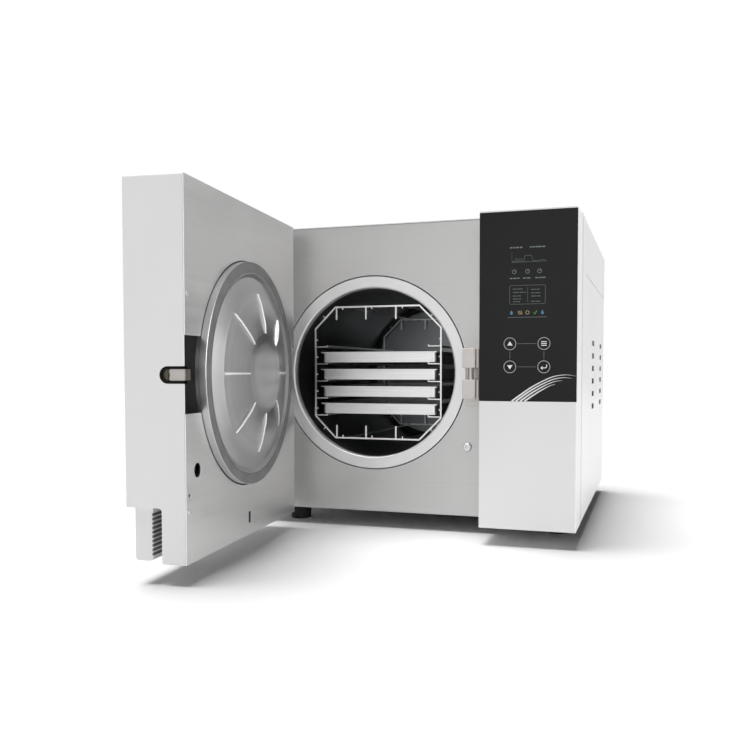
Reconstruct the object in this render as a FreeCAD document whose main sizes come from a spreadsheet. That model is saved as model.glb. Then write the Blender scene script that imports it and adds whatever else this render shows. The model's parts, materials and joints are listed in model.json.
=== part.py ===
import FreeCAD, Part
import math
import os
import re

import Sketcher

# Benchtop steam autoclave: cabinet with a round chamber, a hinged door, a tray rack and a control console.
# Cabinet datum while modelling: X = 0 on the chamber axis (+X to the right), Y = 0 on the front panel
# (+Y to the back), Z = 0 on the table. The finished parts are shifted so that the origin is the centre
# of the whole object's footprint. Door parts are drawn with the door shut, measured from the hinge pin.

Vector = FreeCAD.Vector

SIZES = {
    # cabinet
    "origin_x": (61.2, "footprint centre, from the chamber axis"),
    "origin_y": (50.6, "footprint centre, from the front panel"),
    "cab_left": (-176, "left side of the cabinet"),
    "cab_right": (304, "right side of the cabinet"),
    "cab_high": (448, "top of the covers"),
    "cab_deep": (478, "back edge of the side covers"),
    "hood_deep": (487.5, "back of the upper cover"),
    "seam_front": (59, "front edge of the upper cover"),
    "seam_high": (370, "lower edge of the upper cover"),
    "sheet": (1.5, "sheet metal of the covers"),
    "ease": (0.3, "gap between neighbouring pieces"),
    "foot_high": (24, "height of the rubber feet"),
    "foot_wide": (17, "radius of a foot at its top"),
    "foot_left": (-136, "left feet"),
    "foot_right": (269, "right feet"),
    "foot_front": (46, "front feet"),
    "foot_back": (430, "back feet"),
    "pan_high": (26, "height of the base pan's rim"),
    "panel_thick": (2, "steel front panel"),
    # chamber
    "axis_z": (230, "height of the chamber axis"),
    "mouth_r": (125, "inside radius of the chamber"),
    "flange_r": (142.6, "outside radius of the chamber flange"),
    "flange_deep": (12, "thickness of the chamber flange"),
    "vessel_wall": (3, "chamber wall"),
    "vessel_deep": (358, "inside depth of the chamber"),
    "jacket_in": (132, "inside radius of the insulation"),
    "jacket_out": (150, "outside radius of the insulation"),
    # door, measured from the hinge pin with the door shut
    "hinge_x": (-155.9, "hinge pin"),
    "hinge_y": (-57.1, "hinge pin"),
    "swing": (84.73, "how far the door stands open"),
    "door_left": (-16.8, "hinge edge of the door"),
    "door_right": (328.6, "free edge of the door"),
    "door_low": (23.2, "bottom of the door"),
    "door_top": (443.6, "top of the door"),
    "door_face": (-24.4, "outside face of the door"),
    "door_back": (48, "inside face of the door"),
    "wall": (2.5, "moulded wall"),
    "lid_x": (155.9, "lid centre from the hinge pin"),
    "lid_r": (140, "radius of the pressure lid"),
    "lid_face": (56.6, "sealing face of the lid"),
    "seal_in": (126, "inside radius of the lid seal"),
    "seal_out": (139.4, "outside radius of the lid seal"),
    "hub_r": (38, "flat hub of the lid"),
    "hub_face": (72.1, "hub of the lid"),
    "valley": (5.5, "width of the sloping ring inside the lid seal"),
    "valley_deep": (2.6, "depth of the sloping ring"),
    "rib_half": (1.8, "half the width of a lid rib"),
    "pin_r": (6, "hinge pin radius"),
    "knuckle_r": (12, "hinge knuckle radius"),
    "knuckle_low": (215.5, "bottom of the door's knuckle"),
    "knuckle_top": (244.5, "top of the door's knuckle"),
    "notch_low": (191, "bottom of the hinge notch"),
    "notch_top": (269, "top of the hinge notch"),
    "bar_front": (2, "chamber side of the door bar"),
    "bar_back": (-14, "outer side of the door bar"),
    "grip_x": (208, "inner end of the handle pocket"),
    "grip_top": (84.7, "top of the handle pocket"),
    "grip_back": (19.1, "chamber side of the handle pocket"),
    "grip_low": (26.4, "bottom of the handle"),
    "groove_step": (4.8, "distance between the handle's grooves"),
    "catch_x": (312.5, "striker pin from the hinge pin, door shut"),
    "catch_y": (22, "striker pin from the hinge pin, door shut"),
    "catch_r": (4.25, "striker pin radius"),
    "catch_left": (146, "left side of the striker blocks"),
    "catch_step": (163.6, "right edge of the striker blocks' front face"),
    "catch_right": (167, "right side of the striker blocks"),
    "catch_front": (-40, "front of the striker blocks"),
    "catch_recess": (-33, "front of the striker blocks' set-back side"),
    "catch_low": (194, "bottom of the lower striker block"),
    "catch_gap_low": (221, "top of the lower striker block"),
    "catch_gap_top": (237, "bottom of the upper striker block"),
    "catch_top": (264, "top of the upper striker block"),
    "screw_in": (3.4, "striker screws, from the blocks' edges"),
    "claw_x": (300, "claw pivot"),
    "claw_y": (4, "claw pivot"),
    "claw_in": (26.7, "inside radius of the claw"),
    "claw_out": (33, "outside radius of the claw"),
    "claw_low": (222.8, "underside of the claw"),
    "claw_top": (235.4, "upper side of the claw"),
    "claw_rest": (95, "claw angle when it is released"),
    "bolt_x": (144.6, "lock bolt"),
    "bolt_z": (124, "lock bolt"),
    "bolt_r": (5.85, "lock bolt radius"),
    # console
    "con_left": (176.6, "left side of the console"),
    "con_front": (-75, "front of the console"),
    "con_back": (-1.5, "back edge of the console"),
    "con_low": (23.7, "bottom of the console"),
    "con_top": (442.4, "top of the console"),
    "glass_low": (193, "bottom of the black overlay"),
    "glass_top": (440.7, "top of the black overlay"),
    "glass_thick": (1.2, "thickness of the black overlay"),
    "key_r": (8.6, "radius of a key"),
    "key_hole": (8.9, "hole for a key"),
    "key_left": (217.7, "left keys"),
    "key_right": (261.9, "right keys"),
    "key_upper": (268.5, "upper keys"),
    "key_lower": (238.3, "lower keys"),
    # tray rack
    "rack_x": (1, "middle of the rack"),
    "rack_half": (100.5, "half the width of the rack"),
    "rack_flat": (67, "half the width of the rack's flats"),
    "rack_front": (18, "front of the rack"),
    "rack_deep": (334, "length of the rack"),
    "rack_bar": (2.4, "thickness of the rack's strip"),
    "rail_in": (79.5, "inner edge of the tray rails"),
    "rail_low": (167.4, "top of the lowest tray rail's lip"),
    "rail_step": (26.1, "distance between tray rails"),
    "tray_half": (94, "half the width of a tray's rim"),
    "tray_lip": (3.6, "width of a tray's rim outside its wall"),
    "tray_front": (24, "front of the trays"),
    "tray_long": (318, "length of a tray"),
    "tray_high": (15.9, "height of a tray"),
    "tray_wall": (1.2, "tray sheet"),
    # fan
    "fan_x": (-100, "fan axis"),
    "fan_z": (150, "fan axis"),
    "fan_r": (54, "fan radius"),
    "fan_y": (430, "front of the fan"),
    "inlet_z": (72, "mains inlet and switch"),
    # filler cap
    "cap_x": (-60, "filler cap"),
    "cap_y": (400, "filler cap"),
    "cap_r": (30, "filler cap radius"),
    "neck_r": (24, "inside radius of the filler neck"),
    "tank_front": (70, "front of the water tanks"),
    "tank_back": (470, "back of the water tanks"),
    "tank_low": (386, "bottom of the water tanks"),
    "tank_top": (436, "top of the water tanks"),
    "tank_wall": (3, "wall of the water tanks"),
    "pump_x": (232, "vacuum pump axis"),
    "pump_z": (96, "vacuum pump axis"),
}

RAIL_LEVELS = 5
TRAYS = 4
FIRST_RADIUS = 1.0
FINGERS = (-64.5, -17.2, 30.1)
# The lid's dome: radius, and how far it lies behind the hub's face.
DOME = ((44, 0.3), (50, 0.7), (62, 3.1), (75, 5.9), (88, 8.8), (101, 11.7))
RIB_STANDS = (0.2, 1.6, 1.8, 1.6, 0.2)

doc = FreeCAD.newDocument("autoclave")
sheet = doc.addObject("Spreadsheet::Sheet", "Dim")
for row, (word, (value, note)) in enumerate(SIZES.items(), start=1):
    sheet.set(f"A{row}", str(value))
    sheet.setAlias(f"A{row}", word)
    sheet.set(f"B{row}", note)
doc.recompute()

nodes = []
WORD = re.compile(r"[a-z]+(?:_[a-z]+)*")


def bind(obj, prop, text):
    """Tie a property to a formula in the words of the sheet."""
    formula = WORD.sub(lambda m: "Dim." + m.group() if m.group() in SIZES else m.group(), str(text))
    obj.setExpression(prop, formula)


# ---------------------------------------------------------------- sketches and bodies


def fix_point(sk, geometry, point, x, y):
    for kind, formula in (("DistanceX", x), ("DistanceY", y)):
        index = sk.addConstraint(Sketcher.Constraint(kind, -1, 1, geometry, point, 1.0))
        bind(sk, f"Constraints[{index}]", formula)


def polygon(*corners):
    """A closed outline of straight lines through corners given as formulas."""

    def draw(sk):
        count = len(corners)
        turn = [2 * math.pi * k / count for k in range(count)]
        start = [Vector(math.cos(a), math.sin(a), 0) for a in turn]
        lines = [sk.addGeometry(Part.LineSegment(start[k], start[(k + 1) % count])) for k in range(count)]
        for k in range(count):
            sk.addConstraint(Sketcher.Constraint("Coincident", lines[k], 2, lines[(k + 1) % count], 1))
        for line, (x, y) in zip(lines, corners):
            fix_point(sk, line, 1, x, y)

    return draw


def rectangle(x0, x1, y0, y1):
    return polygon((x0, y0), (x1, y0), (x1, y1), (x0, y1))


def circle(x, y, radius):
    def draw(sk):
        ring = sk.addGeometry(Part.Circle(Vector(0, 0, 0), Vector(0, 0, 1), FIRST_RADIUS))
        fix_point(sk, ring, 3, x, y)
        index = sk.addConstraint(Sketcher.Constraint("Radius", ring, FIRST_RADIUS))
        bind(sk, f"Constraints[{index}]", radius)

    return draw


def new_body(name):
    return doc.addObject("PartDesign::Body", name)


def add_sketch(body, plane, offset, outlines):
    sk = body.newObject("Sketcher::SketchObject", body.Name + "_outline")
    support = next(o for o in body.Origin.OriginFeatures if o.Role == plane + "_Plane")
    sk.AttachmentSupport = [(support, "")]
    sk.MapMode = "FlatFace"
    bind(sk, "AttachmentOffset.Base.z", offset)
    for draw in outlines:
        draw(sk)
    return sk


def extrude(body, kind, plane, low, high, *outlines):
    """Pad or Pocket between two levels along the plane's axis (XY: Z, XZ: Y, YZ: X)."""
    middle = f"(({low}) + ({high})) / 2"
    if plane == "XZ":
        middle = f"-{middle}"
    before = body.Shape.Volume if body.Tip else 0
    feature = body.newObject("PartDesign::" + kind, body.Name + "_" + kind.lower())
    feature.Profile = add_sketch(body, plane, middle, outlines)
    body.Tip = feature
    feature.SideType = "Symmetric"
    bind(feature, "Length", f"({high}) - ({low})")
    doc.recompute()
    if kind == "Pocket" and body.Shape.Volume > before - 1e-3:
        raise ValueError(feature.Name + " cuts nothing")
    return feature


def pad(body, plane, low, high, *outlines):
    return extrude(body, "Pad", plane, low, high, *outlines)


def pocket(body, plane, low, high, *outlines):
    return extrude(body, "Pocket", plane, low, high, *outlines)


def revolve(body, plane, *outlines):
    """Turn an outline about the sketch's upright axis (XY: Y, XZ: Z)."""
    feature = body.newObject("PartDesign::Revolution", body.Name + "_turned")
    profile = add_sketch(body, plane, "0", outlines)
    feature.Profile = profile
    feature.ReferenceAxis = (profile, ["V_Axis"])
    feature.Angle = 360
    body.Tip = feature
    doc.recompute()
    return feature


def repeat(body, feature, axis, step, count):
    """Copies of a feature in a line; the axis is named as the origin's line."""
    pattern = body.newObject("PartDesign::LinearPattern", body.Name + "_row")
    pattern.Originals = [feature]
    line = next(o for o in body.Origin.OriginFeatures if o.Role == axis + "_Axis")
    pattern.Direction = (line, [""])
    bind(pattern, "Length", f"({step}) * {count - 1}")
    pattern.Occurrences = count
    body.Tip = pattern
    doc.recompute()


def repeat_round(body, feature, axis, count):
    pattern = body.newObject("PartDesign::PolarPattern", body.Name + "_ring")
    pattern.Originals = [feature]
    line = next(o for o in body.Origin.OriginFeatures if o.Role == axis + "_Axis")
    pattern.Axis = (line, [""])
    pattern.Angle = 360
    pattern.Occurrences = count
    body.Tip = pattern
    doc.recompute()


def round_edges(body, radius, wanted, kind="Fillet"):
    """Fillet or chamfer the straight edges that the test picks."""
    tip = body.Tip
    names = [f"Edge{k}" for k, edge in enumerate(tip.Shape.Edges, start=1) if wanted(edge)]
    feature = body.newObject("PartDesign::" + kind, body.Name + "_rounded")
    feature.Base = (tip, names)
    bind(feature, "Radius" if kind == "Fillet" else "Size", radius)
    body.Tip = feature
    doc.recompute()


def runs_along(edge, axis):
    if edge.Curve.TypeId != "Part::GeomLine":
        return False
    return abs(getattr(edge.tangentAt(edge.FirstParameter), axis)) > 0.999


def lies_at(edge, axis, value):
    return all(abs(getattr(v.Point, axis) - value) < 0.05 for v in edge.Vertexes)


# ---------------------------------------------------------------- primitives


def block(x0, x1, y0, y1, z0, z1):
    solid = doc.addObject("Part::Box", "block")
    for prop, axis, low, high in (("Length", "x", x0, x1), ("Width", "y", y0, y1), ("Height", "z", z0, z1)):
        bind(solid, prop, f"({high}) - ({low})")
        bind(solid, f"Placement.Base.{axis}", low)
    return solid


AXIS_TURN = {
    "x": FreeCAD.Rotation(Vector(0, 1, 0), 90),
    "y": FreeCAD.Rotation(Vector(1, 0, 0), -90),
    "z": FreeCAD.Rotation(),
}


def rod(axis, a, b, low, high, radius):
    """A cylinder along an axis; a and b are its centre on the other two axes, in X, Y, Z order."""
    solid = doc.addObject("Part::Cylinder", "rod")
    solid.Placement = FreeCAD.Placement(Vector(), AXIS_TURN[axis])
    bind(solid, "Radius", radius)
    bind(solid, "Height", f"({high}) - ({low})")
    others = [name for name in "xyz" if name != axis]
    for name, formula in ((axis, low), (others[0], a), (others[1], b)):
        bind(solid, f"Placement.Base.{name}", formula)
    return solid


def join(*solids):
    fused = doc.addObject("Part::MultiFuse", "joined")
    fused.Shapes = list(solids)
    fused.Refine = True
    return fused


def cut(base, *tools):
    result = doc.addObject("Part::Cut", "cut")
    result.Base = base
    result.Tool = tools[0] if len(tools) == 1 else join(*tools)
    return result


def group(*solids):
    gathered = doc.addObject("Part::Compound", "group")
    gathered.Links = list(solids)
    return gathered


# ---------------------------------------------------------------- placing


def in_cabinet(obj, label, x="0", y="0", z="0"):
    obj.Label = label
    bind(obj, "Placement.Base.x", f"({x}) - origin_x")
    bind(obj, "Placement.Base.y", f"({y}) - origin_y")
    bind(obj, "Placement.Base.z", z)
    nodes.append(obj)


def on_door(obj, label, x="0", y="0", z="0", turn="0"):
    """Place a piece of the door, measured from the hinge pin, and swing it open."""
    obj.Label = label
    bind(obj, "Placement.Base.x", f"hinge_x - origin_x + ({x}) * cos(swing) + ({y}) * sin(swing)")
    bind(obj, "Placement.Base.y", f"hinge_y - origin_y - ({x}) * sin(swing) + ({y}) * cos(swing)")
    bind(obj, "Placement.Base.z", z)
    bind(obj, "Placement.Rotation.Angle", f"({turn}) - swing")
    nodes.append(obj)


IN_LEFT = "cab_left + sheet + ease"
IN_RIGHT = "cab_right - sheet - ease"

# ---------------------------------------------------------------- cabinet


def base_pan():
    body = new_body("base_pan")
    floor = ("panel_thick + ease", "cab_deep - 4")
    pad(body, "XY", "foot_high", "foot_high + pan_high", rectangle(IN_LEFT, IN_RIGHT, *floor))
    inside = rectangle("cab_left + 2*sheet + ease", "cab_right - 2*sheet - ease",
                       "panel_thick + ease + sheet", "cab_deep - 4 - sheet")
    pocket(body, "XY", "foot_high + sheet", "foot_high + pan_high + 1", inside)
    in_cabinet(body, "base_pan")


def feet():
    stands = []
    for side in ("left", "right"):
        for end in ("front", "back"):
            body = new_body("foot")
            revolve(body, "XZ", polygon(
                ("0", "7"), ("7", "7"), ("7", "0"), ("foot_wide - 2.5", "0"), ("foot_wide - 1.5", "1"),
                ("foot_wide", "foot_high"), ("0", "foot_high")))
            bind(body, "Placement.Base.x", f"foot_{side}")
            bind(body, "Placement.Base.y", f"foot_{end}")
            stands.append(body)
    in_cabinet(group(*stands), "rubber_feet")


def front_panel():
    body = new_body("front_panel")
    outline = rectangle(IN_LEFT, IN_RIGHT, "foot_high + 1.3", "cab_high - sheet - ease")
    pad(body, "XZ", "0", "panel_thick", outline)
    pocket(body, "XZ", "-1", "panel_thick + 1", circle("0", "axis_z", "flange_r + 1"),
           circle("bolt_x", "bolt_z", "bolt_r + ease"),
           rectangle("con_left + 20", "cab_right - 24", "210", "400"))
    in_cabinet(body, "front_panel")


def side_covers():
    for side, outer, inner, lip in (("left", "cab_left", "cab_left + sheet", "cab_left + 20"),
                                    ("right", "cab_right", "cab_right - sheet", "cab_right - 20")):
        body = new_body("side_cover_" + side)
        low, high = (outer, inner) if side == "left" else (inner, outer)
        pad(body, "YZ", low, high, polygon(
            ("-0.8", "foot_high"), ("cab_deep", "foot_high"), ("cab_deep", "seam_high"),
            ("seam_front", "seam_high"), ("seam_front", "cab_high"), ("-0.8", "cab_high")))
        low, high = (outer, lip) if side == "left" else (lip, outer)
        pad(body, "XY", "cab_high - sheet", "cab_high", rectangle(low, high, "-0.8", "seam_front"))
        vents = [rectangle(f"{middle} - 23", f"{middle} + 23", "172", "180") for middle in (213, 395)]
        low, high = (f"{outer} - 1", f"{inner} + 1") if side == "left" else (f"{inner} - 1", f"{outer} + 1")
        slots = pocket(body, "YZ", low, high, *vents)
        repeat(body, slots, "Z", "20.2", 6)
        edge_x = SIZES[outer][0]
        round_edges(body, "1.4", lambda e: runs_along(e, "y") and lies_at(e, "x", edge_x)
                    and lies_at(e, "z", SIZES["cab_high"][0]))
        in_cabinet(body, "side_cover_" + side)


def top_rail():
    rail = block("cab_left + 20 + ease", "cab_right - 20 - ease", "-0.8", "seam_front",
                 "cab_high - sheet", "cab_high")
    in_cabinet(group(rail), "top_rail")


def upper_cover():
    body = new_body("upper_cover")
    skirt = "seam_high + 0.8"
    pad(body, "XZ", "seam_front + 0.8", "hood_deep",
        rectangle("cab_left", "cab_right", skirt, "cab_high"))
    round_edges(body, "3", lambda e: runs_along(e, "y") and lies_at(e, "z", SIZES["cab_high"][0]))
    pocket(body, "XZ", "seam_front - 1", "hood_deep - sheet",
           rectangle("cab_left + sheet", "cab_right - sheet", "seam_high", "cab_high - sheet"))
    pocket(body, "XY", "cab_high - 5", "cab_high + 1", circle("cap_x", "cap_y", "cap_r + 2"))
    in_cabinet(body, "upper_cover")


def rear_panel():
    body = new_body("rear_panel")
    pad(body, "XZ", "cab_deep - 3.6", "cab_deep - 2.1",
        rectangle(IN_LEFT, IN_RIGHT, "foot_high + 1.3", "seam_high - ease"))
    slots = pocket(body, "XZ", "cab_deep - 5", "cab_deep",
                   rectangle("fan_x - 40", "fan_x + 40", "fan_z - 43", "fan_z - 37"))
    repeat(body, slots, "Z", "11.4", 8)
    pocket(body, "XZ", "cab_deep - 5", "cab_deep",
           rectangle("216", "264", "inlet_z - 14", "inlet_z + 14"),
           rectangle("181", "203", "inlet_z - 14", "inlet_z + 14"),
           circle("60", "inlet_z", "7"), circle("95", "inlet_z", "7"), circle("250", "320", "26"))
    in_cabinet(body, "rear_panel")


# ---------------------------------------------------------------- chamber


def chamber():
    body = new_body("chamber_flange")
    revolve(body, "XY", polygon(
        ("mouth_r", "2.6"), ("mouth_r + 0.4", "1.2"), ("mouth_r + 1.2", "0.4"), ("mouth_r + 2.6", "0"),
        ("flange_r - 1", "0"), ("flange_r", "1"),
        ("flange_r", "flange_deep"), ("mouth_r", "flange_deep")))
    in_cabinet(body, "chamber_flange", z="axis_z")

    body = new_body("chamber_vessel")
    outer = "mouth_r + vessel_wall"
    revolve(body, "XY", polygon(
        ("mouth_r", "flange_deep"), (outer, "flange_deep"), (outer, "vessel_deep - 8"),
        ("mouth_r - 8", "vessel_deep + 4"), ("0", "vessel_deep + 4"), ("0", "vessel_deep"),
        ("mouth_r - 9", "vessel_deep"), ("mouth_r", "vessel_deep - 9")))
    in_cabinet(body, "chamber_vessel", z="axis_z")

    bands = []
    for start in (60, 160, 260):
        outside = rod("y", "0", "axis_z", f"{start}", f"{start} + 50", "jacket_in - 0.4")
        inside = rod("y", "0", "axis_z", f"{start} - 1", f"{start} + 51", "mouth_r + vessel_wall + 0.4")
        bands.append(cut(outside, inside))
    in_cabinet(group(*bands), "heater_bands")

    body = new_body("insulation_jacket")
    revolve(body, "XY", polygon(
        ("jacket_in", "16"), ("jacket_out", "16"), ("jacket_out", "vessel_deep + 26"),
        ("0", "vessel_deep + 26"), ("0", "vessel_deep + 8"), ("jacket_in", "vessel_deep + 8")))
    in_cabinet(body, "insulation_jacket", z="axis_z")

    saddles = []
    for start in (90, 250):
        stand = block("-95", "95", f"{start}", f"{start} + 20", "foot_high + sheet", "axis_z - 100")
        seat = rod("y", "0", "axis_z", f"{start} - 1", f"{start} + 21", "jacket_out + 0.2")
        saddles.append(cut(stand, seat))
    in_cabinet(group(*saddles), "chamber_saddles")


def hinge_and_striker():
    low, top = "knuckle_low - 0.5", "knuckle_top + 0.5"
    plate = block("hinge_x - 15", "hinge_x + 10", "-6", "0", "notch_low + 6", "notch_top - 6")
    pieces = [plate]
    for bottom, upper in (("notch_low + 6", low), (top, "notch_top - 6")):
        pieces.append(block("hinge_x - 7", "hinge_x + 7", "hinge_y", "-5", bottom, upper))
        pieces.append(rod("z", "hinge_x", "hinge_y", bottom, upper, "knuckle_r"))
    bore = rod("z", "hinge_x", "hinge_y", "notch_low", "notch_top", "pin_r + 0.05")
    in_cabinet(cut(join(*pieces), bore), "hinge_bracket")

    pin = rod("z", "hinge_x", "hinge_y", "notch_low + 3", "notch_top - 6", "pin_r")
    head = rod("z", "hinge_x", "hinge_y", "notch_top - 6", "notch_top - 3", "9")
    in_cabinet(join(pin, head), "hinge_pin")

    catch_x, catch_y = "hinge_x + catch_x", "hinge_y + catch_y"
    pieces = [block("143.2", "catch_right + 1", "-4", "0", "183", "catch_top + 3")]
    for bottom, upper in (("catch_low", "catch_gap_low"), ("catch_gap_top", "catch_top")):
        pieces.append(block("catch_left", "catch_step", "catch_front", "-3", bottom, upper))
        pieces.append(block("catch_step - 1", "catch_right", "catch_recess", "-3", bottom, upper))
    bore = rod("z", catch_x, catch_y, "catch_low - 4", "catch_top + 6", "catch_r + 0.02")
    in_cabinet(cut(join(*pieces), bore), "striker_bracket")
    fasteners = [rod("z", catch_x, catch_y, "catch_low + 4", "catch_top - 4", "catch_r")]
    for x in ("catch_left + screw_in", "catch_step - screw_in"):
        for z in ("catch_low + screw_in", "catch_top - screw_in"):
            fasteners.append(rod("y", x, z, "catch_front - 0.8", "catch_front", "1.9"))
    in_cabinet(group(*fasteners), "striker_pin_and_screws")

    body = new_body("lock_bolt")
    revolve(body, "XY", polygon(
        ("0", "-2"), ("1.5", "-2"), ("2.5", "-3.5"), ("bolt_r - 1", "-3.5"), ("bolt_r", "-2.5"),
        ("bolt_r", "40"), ("0", "40")))
    in_cabinet(body, "lock_bolt", "bolt_x", "0", "bolt_z")
    case = block("bolt_x - 14", "bolt_x + 14", "panel_thick + ease", "62", "bolt_z - 14", "bolt_z + 14")
    in_cabinet(cut(case, rod("y", "bolt_x", "bolt_z", "0", "58", "bolt_r + ease")), "lock_actuator")


# ---------------------------------------------------------------- console


KEY_SPOTS = (("key_left", "key_upper"), ("key_right", "key_upper"),
             ("key_left", "key_lower"), ("key_right", "key_lower"))


def console():
    body = new_body("console_shell")
    pad(body, "XZ", "con_front", "con_back", rectangle("con_left", "cab_right", "con_low", "con_top"))
    round_edges(body, "1.2", lambda e: runs_along(e, "z") and lies_at(e, "y", SIZES["con_front"][0]))
    pocket(body, "XZ", "con_front + 3.2", "con_back + 1",
           rectangle("con_left + wall", "cab_right - wall", "con_low + wall", "con_top - wall"))
    pocket(body, "XZ", "con_front - 1", "con_front + glass_thick",
           rectangle("con_left - 1", "cab_right + 1", "glass_low", "glass_top"))
    keys = [circle(x, z, "key_r + 1.2") for x, z in KEY_SPOTS]
    pocket(body, "XZ", "con_front", "con_front + 4", rectangle("210", "270", "297", "402"), *keys)
    in_cabinet(body, "console_shell")

    body = new_body("console_overlay")
    pad(body, "XZ", "con_front", "con_front + glass_thick",
        rectangle("con_left + 0.2", "cab_right - 0.2", "glass_low + 0.1", "glass_top - 0.1"))
    keys = [circle(x, z, "key_hole") for x, z in KEY_SPOTS]
    pocket(body, "XZ", "con_front - 1", "con_front + 2", *keys)
    in_cabinet(body, "console_overlay")

    frame = block("211", "269", "con_front + 1.5", "con_front + 9", "298", "401")
    in_cabinet(group(frame), "display_module")

    parts = [block("186", "296", "con_front + 17", "con_front + 18.6", "215", "425")]
    for x, z in KEY_SPOTS:
        parts.append(block(f"{x} - 3", f"{x} + 3", "con_front + 13.5", "con_front + 17.2", f"{z} - 3", f"{z} + 3"))
    in_cabinet(join(*parts), "key_board")

    for name, (x, z) in zip(("up_key", "menu_key", "down_key", "enter_key"), KEY_SPOTS):
        body = new_body(name)
        revolve(body, "XY", polygon(
            ("0", "-0.3"), ("key_r - 0.5", "-0.3"), ("key_r", "0.2"), ("key_r", "1.6"),
            ("key_r + 0.7", "1.6"), ("key_r + 0.7", "2.8"), ("3", "2.8"), ("3", "12.2"), ("0", "12.2")))
        in_cabinet(body, name, x, "con_front", z)


# ---------------------------------------------------------------- machinery inside the cabinet


def hollow_tank(left, right):
    """A water tank that fills the room above the chamber between two sides."""
    return (block(left, right, "tank_front", "tank_back", "tank_low", "tank_top"),
            block(f"{left} + tank_wall", f"{right} - tank_wall", "tank_front + tank_wall",
                  "tank_back - tank_wall", "tank_low + tank_wall", "tank_top - tank_wall"))


def tanks():
    outside, inside = hollow_tank("cab_left + 8", "60")
    tank = cut(outside, inside, rod("z", "cap_x", "cap_y", "430", "440", "neck_r"))
    neck = cut(rod("z", "cap_x", "cap_y", "tank_top", "441", "neck_r + tank_wall"),
               rod("z", "cap_x", "cap_y", "430", "442", "neck_r"))
    in_cabinet(join(tank, neck), "clean_water_tank")
    in_cabinet(cut(*hollow_tank("66", "cab_right - 8")), "used_water_tank")

    body = new_body("filler_cap")
    revolve(body, "XZ", polygon(
        ("0", "436.6"), ("23.7", "436.6"), ("23.7", "441.3"), ("cap_r", "441.3"), ("cap_r", "446.5"),
        ("cap_r - 1", "447.4"), ("0", "447.4")))
    grip = pocket(body, "XY", "443", "450", rectangle("cap_r - 1.2", "cap_r + 1", "-2", "2"))
    repeat_round(body, grip, "Z", 16)
    in_cabinet(body, "filler_cap", "cap_x", "cap_y")


def pumps_and_boiler():
    motor = rod("y", "pump_x", "pump_z", "230", "330", "42")
    collar = rod("y", "pump_x", "pump_z", "329", "336", "20")
    head = block("pump_x - 36", "pump_x + 36", "334", "392", "pump_z - 36", "pump_z + 36")
    stand = block("pump_x - 32", "pump_x + 32", "250", "380", "foot_high + sheet", "pump_z - 36")
    in_cabinet(join(motor, collar, head, stand), "vacuum_pump")

    in_cabinet(join(rod("x", "330", "60", "60", "120", "22"), block("70", "110", "315", "345",
                    "foot_high + sheet", "50")), "water_pump")
    boiler = rod("z", "-5", "438", "foot_high + sheet", "205", "32")
    in_cabinet(join(boiler, rod("z", "-5", "438", "204", "216", "20")), "steam_generator")

    valves = [block("35", "165", "395", "425", "80", "104")]
    for k in range(4):
        x = f"50 + {k} * 33"
        valves.append(rod("z", x, "410", "103", "140", "12"))
    in_cabinet(join(*valves), "valve_block")
    in_cabinet(join(rod("z", "120", "440", "foot_high + sheet", "70", "11"),
                    rod("z", "120", "440", "69", "78", "16")), "safety_valve")


def cooling_fan():
    core = block("fan_x - 62", "fan_x + 52", "fan_y - 38", "fan_y - 14", "fan_z - 58", "fan_z + 58")
    gaps = [block("fan_x - 56", "fan_x + 46", "fan_y - 40", "fan_y - 12",
                  f"fan_z - 52 + {k} * 13", f"fan_z - 45 + {k} * 13") for k in range(8)]
    in_cabinet(cut(core, *gaps), "condenser")

    body = new_body("fan_shroud")
    pad(body, "XZ", "fan_y - 4", "fan_y + 32",
        rectangle("fan_x - 60", "fan_x + 60", "fan_z - 60", "fan_z + 60"))
    pocket(body, "XZ", "fan_y - 5", "fan_y + 26", circle("fan_x", "fan_z", "fan_r + 2"))
    pocket(body, "XZ", "fan_y + 25", "fan_y + 33",
           rectangle("fan_x - 48", "fan_x - 20", "fan_z - 48", "fan_z + 48"),
           rectangle("fan_x + 20", "fan_x + 48", "fan_z - 48", "fan_z + 48"))
    pad(body, "XZ", "fan_y", "fan_y + 27", circle("fan_x", "fan_z", "5"))
    in_cabinet(body, "fan_shroud")

    hub = cut(rod("y", "0", "0", "0", "18", "20"), rod("y", "0", "0", "4", "19", "14"))
    blades = []
    for k in range(7):
        blade = doc.addObject("Part::Box", "blade")
        bind(blade, "Length", "fan_r - 18")
        blade.Width = 2
        blade.Height = 20
        pitch = FreeCAD.Rotation(Vector(1, 0, 0), 45)
        spoke = FreeCAD.Rotation(Vector(0, 1, 0), 360 * k / 7)
        blade.Placement = FreeCAD.Placement(spoke.multVec(Vector(18, 16, -7)), spoke * pitch)
        blades.append(blade)
    rotor = cut(join(hub, *blades), rod("y", "0", "0", "-1", "25", "5.08"))
    in_cabinet(rotor, "fan_rotor", "fan_x", "fan_y + 2", "fan_z")


def electronics():
    board = block("286", "287.6", "20", "210", "150", "360")
    chips = [block("276", "286.5", f"{y}", f"{y} + {wide}", f"{z}", f"{z} + {high}")
             for y, z, wide, high in ((40, 180, 40, 40), (110, 200, 25, 60), (160, 170, 30, 30),
                                      (60, 280, 70, 50))]
    in_cabinet(join(board, *chips), "main_board")
    slots = [block("224", "299", f"{y}", f"{y} + 4", "170", "260") for y in range(240, 330, 12)]
    in_cabinet(cut(block("225", "298", "225", "345", "150", "280"), *slots), "power_supply")


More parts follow.
